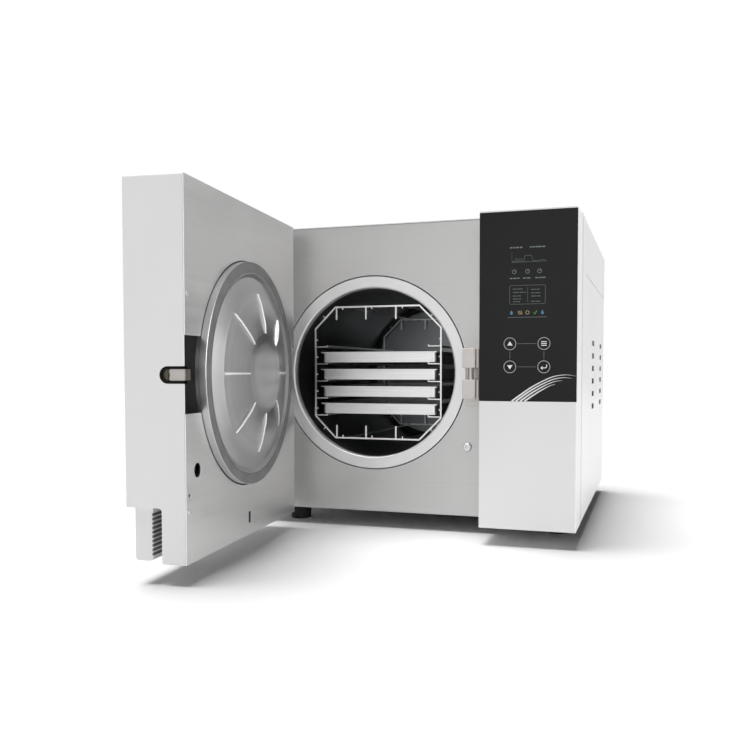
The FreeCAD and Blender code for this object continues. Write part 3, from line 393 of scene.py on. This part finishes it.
# Width of each node's softened edges, in millimetres.
SOFT_EDGES = {
    "door_shell": 0.8, "door_inner_plate": 0.35, "console_shell": 0.6, "side_cover_left": 0.5,
    "side_cover_right": 0.5, "upper_cover": 0.5, "top_rail": 0.4, "front_panel": 0.3, "rear_panel": 0.4,
    "chamber_flange": 0.8, "striker_bracket": 0.6, "hinge_bracket": 0.6, "latch_claw": 0.6,
    "door_grip": 0.7, "tray_rack": 0.45, "rubber_feet": 0.6, "filler_cap": 0.4, "power_rocker": 0.5,
    "inlet_and_switch_case": 0.4, "drain_ports": 0.4, "air_filter": 0.6, "latch_frame": 0.4,
    "door_bar": 0.8, "plate_screws": 0.2, "lock_bolt": 0.3, "hinge_pin": 0.5,
    "striker_pin_and_screws": 0.3, "latch_motor": 0.6, "tray_1": 0.35, "tray_2": 0.35, "tray_3": 0.35,
    "tray_4": 0.35, "fan_rotor": 0.4, "fan_shroud": 0.5,
}
SEAM = 1e-6
SHARP = 40


def soften(obj, width):
    """Close the seams between a CAD node's faces and break its sharp edges."""
    weld = obj.modifiers.new("weld", "WELD")
    weld.merge_threshold = SEAM
    bevel = obj.modifiers.new("edges", "BEVEL")
    bevel.width = width * MM
    bevel.segments = 2
    bevel.limit_method = "ANGLE"
    bevel.angle_limit = math.radians(SHARP)
    bevel.use_clamp_overlap = True
    bevel.harden_normals = True


# Nodes whose look differs a little from the rest of their slot; the claw's darker, browner look is painted
# shade.
OWN_LOOKS = {"chamber_flange": "flange_steel", "lock_bolt": "flange_steel", "latch_claw": "claw_metal_painted_shade",
             "striker_pin_and_screws": "striker_metal"}

for node, obj in nodes.items():
    for index, own in enumerate(obj.data.materials):
        look = LOOKS[OWN_LOOKS.get(node, own.name.split(".")[0])]
        obj.data.materials[index] = look.material
    if node in SOFT_EDGES:
        obj.data.attributes.remove(obj.data.attributes["custom_normal"])
        soften(obj, SOFT_EDGES[node])

# ---------------------------------------------------------------- building new pieces


def finish_piece(name, mesh, look, body, place):
    """Put a bmesh, drawn in millimetres, where the frame has it, and let it ride on its body."""
    bmesh.ops.transform(mesh, matrix=place, verts=mesh.verts)
    data = bpy.data.meshes.new(name)
    mesh.to_mesh(data)
    mesh.free()
    data.materials.append(look.material)
    piece = bpy.data.objects.new(name, data)
    bpy.context.scene.collection.objects.link(piece)
    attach(piece, body)
    return piece


def ribbon(mesh, points, width, level, closed=False):
    """A flat strip along a line in the upright plane at that level; the width may change along it."""
    count = len(points)
    rows = []
    for k, (x, z) in enumerate(points):
        if closed:
            before, after = points[k - 1], points[(k + 1) % count]
        else:
            before, after = points[max(k - 1, 0)], points[min(k + 1, count - 1)]
        along = Vector((after[0] - before[0], after[1] - before[1])).normalized()
        half = (width(k / (count - 1)) if callable(width) else width) / 2
        if closed or 0 < k < count - 1:
            first = Vector((x - before[0], z - before[1])).normalized()
            half /= max(0.5, along.dot(first))
        rows.append([mesh.verts.new((x + side * half * along.y, level, z - side * half * along.x))
                     for side in (-1, 1)])
    spans = range(count if closed else count - 1)
    for k in spans:
        a, b = rows[k], rows[(k + 1) % count]
        mesh.faces.new((a[0], a[1], b[1], b[0]))


def patch(mesh, corners, level):
    """A flat shape in the upright plane at that level."""
    mesh.faces.new([mesh.verts.new((x, level, z)) for x, z in corners])


def arc(x, z, radius, start=0.0, end=360.0, steps=48):
    """Points along an arc in degrees, without a doubled point where it is a full circle."""
    full = abs(end - start) >= 360
    turns = [math.radians(start + (end - start) * k / steps) for k in range(steps + (0 if full else 1))]
    return [(x + radius * math.cos(a), z + radius * math.sin(a)) for a in turns]


def curve_through(points, steps=12):
    """Points along a smooth Catmull-Rom line."""
    padded = [points[0], *points, points[-1]]
    line = []
    for a, b, c, d in zip(padded, padded[1:], padded[2:], padded[3:]):
        for k in range(steps):
            t = k / steps
            line.append(tuple(0.5 * (2 * q + (r - p) * t + (2 * p - 5 * q + 4 * r - s) * t * t
                                     + (3 * q - p - 3 * r + s) * t ** 3) for p, q, r, s in zip(a, b, c, d)))
    return [*line, points[-1]]


def lathe(mesh, profile, place, steps):
    """Turn (radius, height) points about the Z axis, at that place."""
    rings = []
    for radius, height in profile:
        turns = [2 * math.pi * k / steps for k in range(steps)] if radius > 1e-6 else [0.0]
        rings.append([mesh.verts.new(place @ Vector((radius * math.cos(a), radius * math.sin(a), height)))
                      for a in turns])
    for low, high in zip(rings, rings[1:]):
        for k in range(steps):
            a, b = low[k % len(low)], low[(k + 1) % len(low)]
            c, d = high[(k + 1) % len(high)], high[k % len(high)]
            corners = [v for n, v in enumerate((a, b, c, d)) if v not in (a, b, c, d)[:n]]
            if len(corners) > 2:
                mesh.faces.new(corners)


def tube(mesh, points, radius, sides=10):
    """A round wire with rounded ends along straight or curved runs."""
    path = [Vector(p) for p in points]
    start, end = (path[0] - path[1]).normalized(), (path[-1] - path[-2]).normalized()
    path = [path[0] + start * radius * 0.6, *path, path[-1] + end * radius * 0.6]
    sizes = [0.55 * radius, *[radius] * (len(path) - 2), 0.55 * radius]
    rings = []
    guide = Vector((0.31, 0.22, 0.92))
    for k, (point, size) in enumerate(zip(path, sizes)):
        along = (path[min(k + 1, len(path) - 1)] - path[max(k - 1, 0)]).normalized()
        across = along.cross(guide).normalized()
        up = across.cross(along)
        rings.append([mesh.verts.new(point + size * (math.cos(a) * across + math.sin(a) * up))
                      for a in (2 * math.pi * n / sides for n in range(sides))])
    for low, high in zip(rings, rings[1:]):
        for n in range(sides):
            mesh.faces.new((low[n], low[(n + 1) % sides], high[(n + 1) % sides], high[n]))
    mesh.faces.new(rings[0][::-1])
    mesh.faces.new(rings[-1])


def smooth(piece, angle=35):
    """Round shading, kept sharp along edges past the angle."""
    for face in piece.data.polygons:
        face.use_smooth = True
    piece.data.set_sharp_from_angle(angle=math.radians(angle))
    return piece


# ---------------------------------------------------------------- console marks

INK_PROUD = 0.06
FILM = (TO_CABINET @ Vector(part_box("console_overlay")[0])).y - INK_PROUD
KEY_TOP = (TO_CABINET @ Vector(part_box("up_key")[0])).y - INK_PROUD
KEYS = {name: TO_CABINET @ middle(name) for name in ("up_key", "menu_key", "down_key", "enter_key")}
RING, RING_STROKE = 7.8, 0.95
LINK_GAP, LINK_STROKE = 9.9, 0.6


def key_icon(mesh, name, x, z):
    """Arrow, three bars or a return arrow."""
    if name == "up_key":
        patch(mesh, [(x - 3.6, z - 2.2), (x + 3.6, z - 2.2), (x, z + 3.4)], KEY_TOP)
    elif name == "down_key":
        patch(mesh, [(x - 3.6, z + 2.2), (x, z - 3.4), (x + 3.6, z + 2.2)], KEY_TOP)
    elif name == "menu_key":
        for step in (-2.4, 0, 2.4):
            ribbon(mesh, [(x - 3.6, z + step), (x + 3.6, z + step)], 1.1, KEY_TOP)
    else:
        tail = [(x + 3.6, z + 3), (x + 3.6, z + 0.6), *arc(x + 1.8, z + 0.4, 1.8, 0, -90, 6),
                (x - 1.8, z - 1.4)]
        ribbon(mesh, tail, 1.1, KEY_TOP)
        patch(mesh, [(x - 1.6, z - 4), (x - 1.6, z + 1.2), (x - 4.4, z - 1.4)], KEY_TOP)


for name, spot in KEYS.items():
    mesh = bmesh.new()
    ribbon(mesh, arc(spot.x, spot.z, RING), RING_STROKE, KEY_TOP, closed=True)
    finish_piece(name + "_ring", mesh, INK_RING_GLOWING, name, CABINET)
    mesh = bmesh.new()
    key_icon(mesh, name, spot.x, spot.z)
    finish_piece(name + "_mark", mesh, INK_WHITE_GLOWING, name, CABINET)


def key_links():
    """Thin lines from key to key, which stop short of the rings."""
    mesh = bmesh.new()
    for first, second in (("up_key", "menu_key"), ("down_key", "enter_key")):
        a, b = KEYS[first], KEYS[second]
        ribbon(mesh, [(a.x + LINK_GAP, a.z), (b.x - LINK_GAP, b.z)], LINK_STROKE, FILM)
    for first, second in (("up_key", "down_key"), ("menu_key", "enter_key")):
        a, b = KEYS[first], KEYS[second]
        ribbon(mesh, [(a.x, a.z - LINK_GAP), (b.x, b.z + LINK_GAP)], LINK_STROKE, FILM)
    finish_piece("key_links", mesh, INK_GREY, "cabinet", CABINET)


key_links()


def console_sweep():
    """Four thin lines that rise from the bottom of the film and fade out to the right."""
    mesh = bmesh.new()
    low = (TO_CABINET @ Vector(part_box("console_overlay")[0])).z + 0.3
    lines = (
        ((220.5, low), (234.2, 203.5), (247, 212.3), (259.6, 219.2), (272, 224.9), (283, 227.4), (293, 227.9),
         (302.5, 226.4)),
        ((225.8, low), (238.6, 203), (250, 210.4), (260.2, 216), (272, 221.4), (282, 223.9), (290, 224.4),
         (298, 223.4)),
        ((231.5, low), (243, 201.9), (253, 208.3), (261.5, 213.1), (270, 217.2), (278, 219.8), (286, 220.4)),
        ((237.1, low), (247, 200.3), (256, 206.2), (264, 210.8), (271, 214.2), (277, 215.9)),
    )
    for line in lines:
        ribbon(mesh, curve_through(line), lambda t: 2.1 * (1 - t) ** 0.9 + 0.12, FILM)
    finish_piece("console_sweep", mesh, INK_WHITE_GLOWING, "cabinet", CABINET)


console_sweep()


def dashes(mesh, x, z, lengths, height, gap=0.9):
    """A row of dashes that stands for a word."""
    for length in lengths:
        ribbon(mesh, [(x, z), (x + length, z)], height, FILM)
        x += length + gap


def rounded_box(x0, x1, z0, z1, radius):
    """Outline of a box with round corners."""
    corners = ((x1 - radius, z1 - radius, 0), (x0 + radius, z1 - radius, 90),
               (x0 + radius, z0 + radius, 180), (x1 - radius, z0 + radius, 270))
    return [point for x, z, turn in corners for point in arc(x, z, radius, turn, turn + 90, 4)]


def display_dials():
    """A line of dashes for the clock, and three dials with dashes below."""
    mesh = bmesh.new()
    dashes(mesh, 217, 393.4, (3, 2.6, 4.6, 3.4), 1.7)
    dashes(mesh, 243, 393.4, (2.4, 3.6, 7, 4), 1.7)
    level = 362.2
    for x, start, lengths in ((222.8, 217, (3.4, 4.6, 3)), (240, 234, (4, 5)), (255.7, 250, (4, 3, 4.6))):
        ribbon(mesh, arc(x, level, 2.6, steps=20), 0.7, FILM, closed=True)
        ribbon(mesh, [(x, level), (x + 1.2, level + 1.6)], 0.7, FILM)
        dashes(mesh, start, 353.6, lengths, 1.5)
    finish_piece("display_dials", mesh, LCD_GREY, "cabinet", CABINET)


def display_lines():
    """A cycle curve over its axes, a framed table of dashes, and a rule above the signs."""
    mesh = bmesh.new()
    ribbon(mesh, [(219.6, 388), (219.6, 374.6), (264.5, 374.6)], 0.45, FILM)
    cycle = [(220.5, 375.2), (223.4, 376.1), (225, 379.4), (226.7, 375.4), (228.4, 379.6), (230, 375.2),
             (231.8, 379.4), (233.4, 375.2), (235.3, 376), (236.6, 382.8), (245.1, 382.6), (247.1, 376),
             (252.4, 375.4), (260.2, 376.6), (264.2, 375.2)]
    ribbon(mesh, cycle, 0.6, FILM)
    ribbon(mesh, rounded_box(217, 263.2, 320, 344.2, 2), 0.6, FILM, closed=True)
    ribbon(mesh, [(240.4, 322.4), (240.4, 341.6)], 0.5, FILM)
    left_column = ((339.6, (5, 7)), (335.2, (8, 6, 2)), (330.6, (4, 6)), (326.8, (7, 3)), (323.2, (5, 4)))
    right_column = ((338.6, (6, 4)), (334.2, (4, 7)), (330, (7, 4)), (323.2, (5, 6)))
    for x, column in ((221, left_column), (245, right_column)):
        for z, lengths in column:
            dashes(mesh, x, z, lengths, 1.2)
    ribbon(mesh, [(214.4, 302.8), (265.3, 302.8)], 0.9, FILM)
    finish_piece("display_lines", mesh, LCD_FAINT, "cabinet", CABINET)


def display_signs():
    """Five generic signs: two drops, three waves, a ring and a tick."""
    signs = (("sign_water", LCD_BLUE, 219.4), ("sign_dry", LCD_AMBER, 230.6), ("sign_heat", LCD_AMBER, 240.3),
             ("sign_ready", LCD_GREEN, 250.2), ("sign_lock", LCD_BLUE, 259.6))
    for name, ink, x in signs:
        mesh = bmesh.new()
        if name == "sign_ready":
            ribbon(mesh, [(x - 2.2, 308.8), (x - 0.6, 306.8), (x + 2.4, 311.2)], 0.9, FILM)
        elif name == "sign_dry":
            for step in (-2, 0, 2):
                start = x + step
                wave = [(start, 306.4), (start + 0.7, 308), (start - 0.5, 309.8), (start, 311.4)]
                ribbon(mesh, wave, 0.8, FILM)
        elif name == "sign_heat":
            ribbon(mesh, arc(x, 309, 2.2, steps=20), 0.8, FILM, closed=True)
        else:
            patch(mesh, [*arc(x, 308.2, 1.8, 150, 390, 12), (x, 312.2)], FILM)
        finish_piece(name, mesh, ink, "cabinet", CABINET)


display_dials()
display_lines()
display_signs()

# ---------------------------------------------------------------- small fittings


def console_seam():
    """Dark grey strip in the gap between the console and the right side cover: painted shade for the gap."""
    tucked, proud, short = 1.1, 0.08, 0.6
    console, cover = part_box("console_shell"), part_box("side_cover_right")
    low = TO_CABINET @ Vector((console[1][0], console[1][1], console[0][2]))
    high = TO_CABINET @ Vector((cover[1][0], cover[0][1], console[1][2]))
    x, y0, y1 = high.x + proud, low.y - tucked, high.y + tucked
    z0, z1 = low.z + short, high.z - short
    mesh = bmesh.new()
    corners = ((x, y0, z0), (x, y1, z0), (x, y1, z1), (x, y0, z1))
    mesh.faces.new([mesh.verts.new(corner) for corner in corners])
    finish_piece("console_seam", mesh, LOOKS["seam_painted_shade"], "cabinet", CABINET)


console_seam()

# Centre of the round end of the latch's slot, in the door's free edge.
SLOT_Y, SLOT_Z = PLATE_FACE - 20.2, middle("latch_claw").z / MM - 0.1


def latch_lining():
    """Black strip along the latch's slot, bent to follow the slot's edge: painted shade inside the slot."""
    outer_radius, inner_radius = 9.35, 6.3
    face, bottom = FREE_EDGE + 0.15, FREE_EDGE - 5.4
    mouth = PLATE_FACE - 0.3
    outer, inner = ([(mouth, SLOT_Z + radius), *arc(SLOT_Y, SLOT_Z, radius, 90, 270, 24),
                     (mouth, SLOT_Z - radius)] for radius in (outer_radius, inner_radius))
    mesh = bmesh.new()
    loops = [[mesh.verts.new((x, y, z)) for y, z in line]
             for line, x in ((outer, face), (inner, face), (inner, bottom), (outer, bottom))]
    for a, b in zip(loops, loops[1:] + loops[:1]):
        for k in range(len(a) - 1):
            mesh.faces.new((a[k], a[k + 1], b[k + 1], b[k]))
    smooth(finish_piece("latch_lining", mesh, LOOKS["painted_shade_black"], "door", DOOR))


latch_lining()


def latch_slot_cap():
    """Dark cap in the slot's round end, with a small stud on it."""
    radius, thickness = 6.2, 3
    face = FREE_EDGE - 2.4
    stud_y = SLOT_Y - 2.4
    stud = [(2.3, -0.1), (2.2, 0.5), (1.5, 0.75), (1.3, 0.5), (0, 0.45)]
    mesh = bmesh.new()
    outline = arc(SLOT_Y, SLOT_Z, radius, 100, 260, 20)
    front = [mesh.verts.new((face, y, z)) for y, z in outline]
    back = [mesh.verts.new((face - thickness, y, z)) for y, z in outline]
    mesh.faces.new(front)
    for k in range(len(outline)):
        following = (k + 1) % len(outline)
        mesh.faces.new((front[k], back[k], back[following], front[following]))
    stand = Matrix.Translation((face, stud_y, SLOT_Z)) @ Matrix.Rotation(math.radians(90), 4, "Y")
    lathe(mesh, stud, stand, 24)
    smooth(finish_piece("latch_slot_cap", mesh, LOOKS["slot_cap"], "door", DOOR))


latch_slot_cap()


def latch_pocket():
    """Dark open box behind the cut-out of the inner plate, so that the door's inside isn't seen there."""
    x0, x1 = FREE_EDGE - 43.5, FREE_EDGE - 2.7
    z0, z1 = 186.3, 272.5
    bottom, top = -8.8, PLATE_FACE - 1.7
    wall, open_side = 0.4, 1
    mesh = bmesh.new()
    ring = [(x0, z0), (x1, z0), (x1, z1), (x0, z1)]
    low = [mesh.verts.new((x, bottom, z)) for x, z in ring]
    rim = [mesh.verts.new((x, top, z)) for x, z in ring]
    mesh.faces.new(low)
    for k in range(4):
        if k != open_side:
            mesh.faces.new((low[k], low[(k + 1) % 4], rim[(k + 1) % 4], rim[k]))
    piece = finish_piece("latch_pocket", mesh, LOOKS["pocket_plastic"], "door", DOOR)
    thicken = piece.modifiers.new("wall", "SOLIDIFY")
    thicken.thickness = wall * MM
    thicken.offset = 0


latch_pocket()

LID = TO_DOOR @ middle("pressure_lid")


def lid_beads():
    """Crests along the lid's eight ribs, in the lid's steel painted lighter as a painted highlight, given by
    radius and drop from the lid's highest point.
    """
    crest = ((51, 0.75), (62, 1.35), (75, 3.95), (88, 7.05), (99.5, 10.95))
    ribs, bead = 8, 1.2
    top = door_corner("pressure_lid", 1).y
    mesh = bmesh.new()
    for k in range(ribs):
        turn = math.radians(360 * k / ribs)
        line = [(LID.x + radius * math.cos(turn), top - drop, LID.z + radius * math.sin(turn))
                for radius, drop in crest]
        tube(mesh, line, bead)
    smooth(finish_piece("lid_beads", mesh, LOOKS["bead_steel_painted_highlight"], "door", DOOR))


lid_beads()


def lid_painted_shadow():
    """Painted shadow: a flat black ring round the lid where it leaves the inner plate."""
    width, proud = 1.5, 0.12
    radius = (door_corner("pressure_lid", 1) - door_corner("pressure_lid", 0)).z / 2
    mesh = bmesh.new()
    ring = arc(LID.x, LID.z, radius + width / 2, steps=120)
    ribbon(mesh, ring, width, PLATE_FACE + proud, closed=True)
    finish_piece("lid_painted_shadow", mesh, LOOKS["painted_shade_black"], "door", DOOR)


lid_painted_shadow()


def grip_ribs():
    """Soft ribs that fill the grooves on the finger side of the door's grip, dark as painted shade for the
    deep recess there.
    """
    count, first, step = 10, 7.6, 4.8
    section = ((-1.3, 1.65), (0.1, 1.5), (0.5, 0.8))  # height over the grip's face, half width
    low, high = door_corner("door_grip", 0), door_corner("door_grip", 1)
    mesh = bmesh.new()
    for k in range(count):
        z = low.z + first + step * k
        profile = [(high.y + rise, z - half) for rise, half in section]
        profile += [(high.y + rise, z + half) for rise, half in reversed(section)]
        ends = [[mesh.verts.new((x, y, height)) for y, height in profile]
                for x in (low.x + 6.2, high.x - 0.1)]
        for n in range(len(profile)):
            following = (n + 1) % len(profile)
            mesh.faces.new((ends[0][n], ends[0][following], ends[1][following], ends[1][n]))
        mesh.faces.new(ends[0])
        mesh.faces.new(ends[1][::-1])
    smooth(finish_piece("grip_ribs", mesh, LOOKS["grip_painted_shade"], "door", DOOR))


grip_ribs()


def rack_nubs():
    """Short wire ends welded on the rack's front and back frames."""
    low, high = (TO_CABINET @ Vector(corner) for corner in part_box("tray_rack"))
    centre = (low + high) / 2
    half = (high.x - low.x) / 2
    run, cut_corner = half - 2.5, half - 16.5
    across = (-55, -8, 40)
    levels = [low.z + 46 + 26.1 * k for k in range(5)]
    mesh = bmesh.new()
    for y in (low.y + 1.5, high.y - 1.5):
        for x in across:
            for side in (-1, 1):
                z = centre.z + side * run
                tube(mesh, [(centre.x + x, y, z), (centre.x + x, y, z - side * 2.2)], 1.1)
        for sx in (-1, 1):
            for sz in (-1, 1):
                x, z = centre.x + sx * cut_corner, centre.z + sz * cut_corner
                tube(mesh, [(x - sx * 0.5, y, z - sz * 0.5), (x + sx * 2.4, y, z + sz * 2.4)], 1.2)
            x = centre.x + sx * run
            for z in levels:
                tube(mesh, [(x, y, z), (x - sx * 2, y, z)], 1.0)
    smooth(finish_piece("rack_nubs", mesh, LOOKS["rack_steel"], "rack", CABINET))


rack_nubs()

# Shares of a screw head's radius, with heights in millimetres for the head.
PAN_HEAD = ((1, -0.2), (1, 0.7), (0.86, 1.35), (0.5, 1.8), (0, 1.95))
CROSS = ((-0.62, -0.16), (0.62, -0.16), (0.62, 0.16), (-0.62, 0.16))
CROSS_LEVEL = 2.02
BACKWARDS = (0, 1, 0)


def screw_heads(name, spots, radius):
    """Pan heads with a cross recess on the cabinet's back."""
    mesh = bmesh.new()
    turn = Vector(BACKWARDS).to_track_quat("Z", "Y").to_matrix().to_4x4()
    for spot in spots:
        stand = Matrix.Translation(spot) @ turn
        lathe(mesh, [(radius * share, height) for share, height in PAN_HEAD], stand, 28)
        for angle in (0, 90):
            spin = stand @ Matrix.Rotation(math.radians(angle), 4, "Z")
            corners = [spin @ Vector((radius * x, radius * y, CROSS_LEVEL)) for x, y in CROSS]
            mesh.faces.new([mesh.verts.new(corner) for corner in corners])
    smooth(finish_piece(name, mesh, LOOKS["polished_steel"], "cabinet", CABINET), 50)


def back_screws():
    """Screws round the edge of the rear panel and along the back of the upper cover."""
    low, high = (TO_CABINET @ Vector(corner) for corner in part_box("rear_panel"))
    middle_x, middle_z = 64, 200
    spots = [(x, high.y, z) for x in (low.x + 12, middle_x, high.x - 12) for z in (38, middle_z, 356)]
    spots.remove((middle_x, high.y, middle_z))
    screw_heads("rear_screws", spots, 3.4)
    cover_back = (TO_CABINET @ Vector(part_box("upper_cover")[1])).y
    spots = [(x, cover_back, 430) for x in (low.x + 20, middle_x, high.x - 20)]
    screw_heads("cover_screws", spots, 3.0)


back_screws()


def switch_marks():
    """A line and a ring on the power rocker."""
    mesh = bmesh.new()
    spot = TO_CABINET @ middle("power_rocker")
    face = (TO_CABINET @ Vector(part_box("power_rocker")[1])).y + 0.05
    ribbon(mesh, [(spot.x, spot.z + 5), (spot.x, spot.z + 9)], 0.9, face)
    ribbon(mesh, arc(spot.x, spot.z - 7, 2, steps=24), 0.7, face, closed=True)
    finish_piece("switch_marks", mesh, INK_WHITE_GLOWING, "power_rocker", CABINET)


switch_marks()

# ---------------------------------------------------------------- floor and light


def floor():
    """Matt, nearly white ground."""
    mesh = bmesh.new()
    bmesh.ops.create_grid(mesh, x_segments=8, y_segments=8, size=6)
    data = bpy.data.meshes.new("floor")
    mesh.to_mesh(data)
    mesh.free()
    look = Look("floor", Specular_IOR_Level=0.1)
    look.colour(look.noise(1.5, 2), grey(0.93), grey(0.95))
    look.rough(look.noise(3, 2), 0.8, 0.9)
    data.materials.append(look.material)
    piece = bpy.data.objects.new("floor", data)
    bpy.context.scene.collection.objects.link(piece)
    return piece


FLOOR = floor()


def softbox(name, where, aim, size, power):
    """Rectangular lamp that leaves the floor out, so it doesn't light the shadows there."""
    light = bpy.data.lights.new(name, "AREA")
    light.shape = "RECTANGLE"
    light.size, light.size_y = size
    light.energy = power
    obj = bpy.data.objects.new(name, light)
    obj.location = where
    obj.rotation_euler = (Vector(aim) - Vector(where)).to_track_quat("-Z", "Y").to_euler()
    bpy.context.scene.collection.objects.link(obj)
    lit = bpy.data.collections.new(name + "_leaves_out")
    lit.objects.link(FLOOR)
    obj.light_linking.receiver_collection = lit
    lit.collection_objects[0].light_linking.link_state = "EXCLUDE"


softbox("front", (0.4, -4.2, 0.9), (-0.1, -0.2, 0.3), (3.6, 1.6), 32)
softbox("right_side", (3.4, -0.1, 1.2), (0.2, 0.1, 0.3), (3.8, 2.2), 76)


def overhead():
    """Soft sun from above, a little from the left, which keeps the floor an even white."""
    light = bpy.data.lights.new("overhead", "SUN")
    light.energy = 3.55
    light.angle = math.radians(36)
    obj = bpy.data.objects.new("overhead", light)
    obj.rotation_euler = (0, math.radians(-12), 0)
    bpy.context.scene.collection.objects.link(obj)


overhead()


def studio():
    """White behind everything, a mid-grey room in the metals' reflections, little light in the shade."""
    world = bpy.data.worlds.new("studio")
    bpy.context.scene.world = world
    world.use_nodes = True
    tree = world.node_tree
    tree.nodes.clear()
    path = tree.nodes.new("ShaderNodeLightPath")
    shown = None
    for ray, level in ((None, 0.08), ("Is Glossy Ray", 0.45), ("Is Camera Ray", 1.0)):
        sky = tree.nodes.new("ShaderNodeBackground")
        sky.inputs["Color"].default_value = (level, level, level, 1)
        if ray:
            mix = tree.nodes.new("ShaderNodeMixShader")
            tree.links.new(path.outputs[ray], mix.inputs[0])
            tree.links.new(shown, mix.inputs[1])
            tree.links.new(sky.outputs[0], mix.inputs[2])
            shown = mix.outputs[0]
        else:
            shown = sky.outputs[0]
    output = tree.nodes.new("ShaderNodeOutputWorld")
    tree.links.new(shown, output.inputs["Surface"])


studio()
bpy.context.scene.view_settings.view_transform = "Standard"
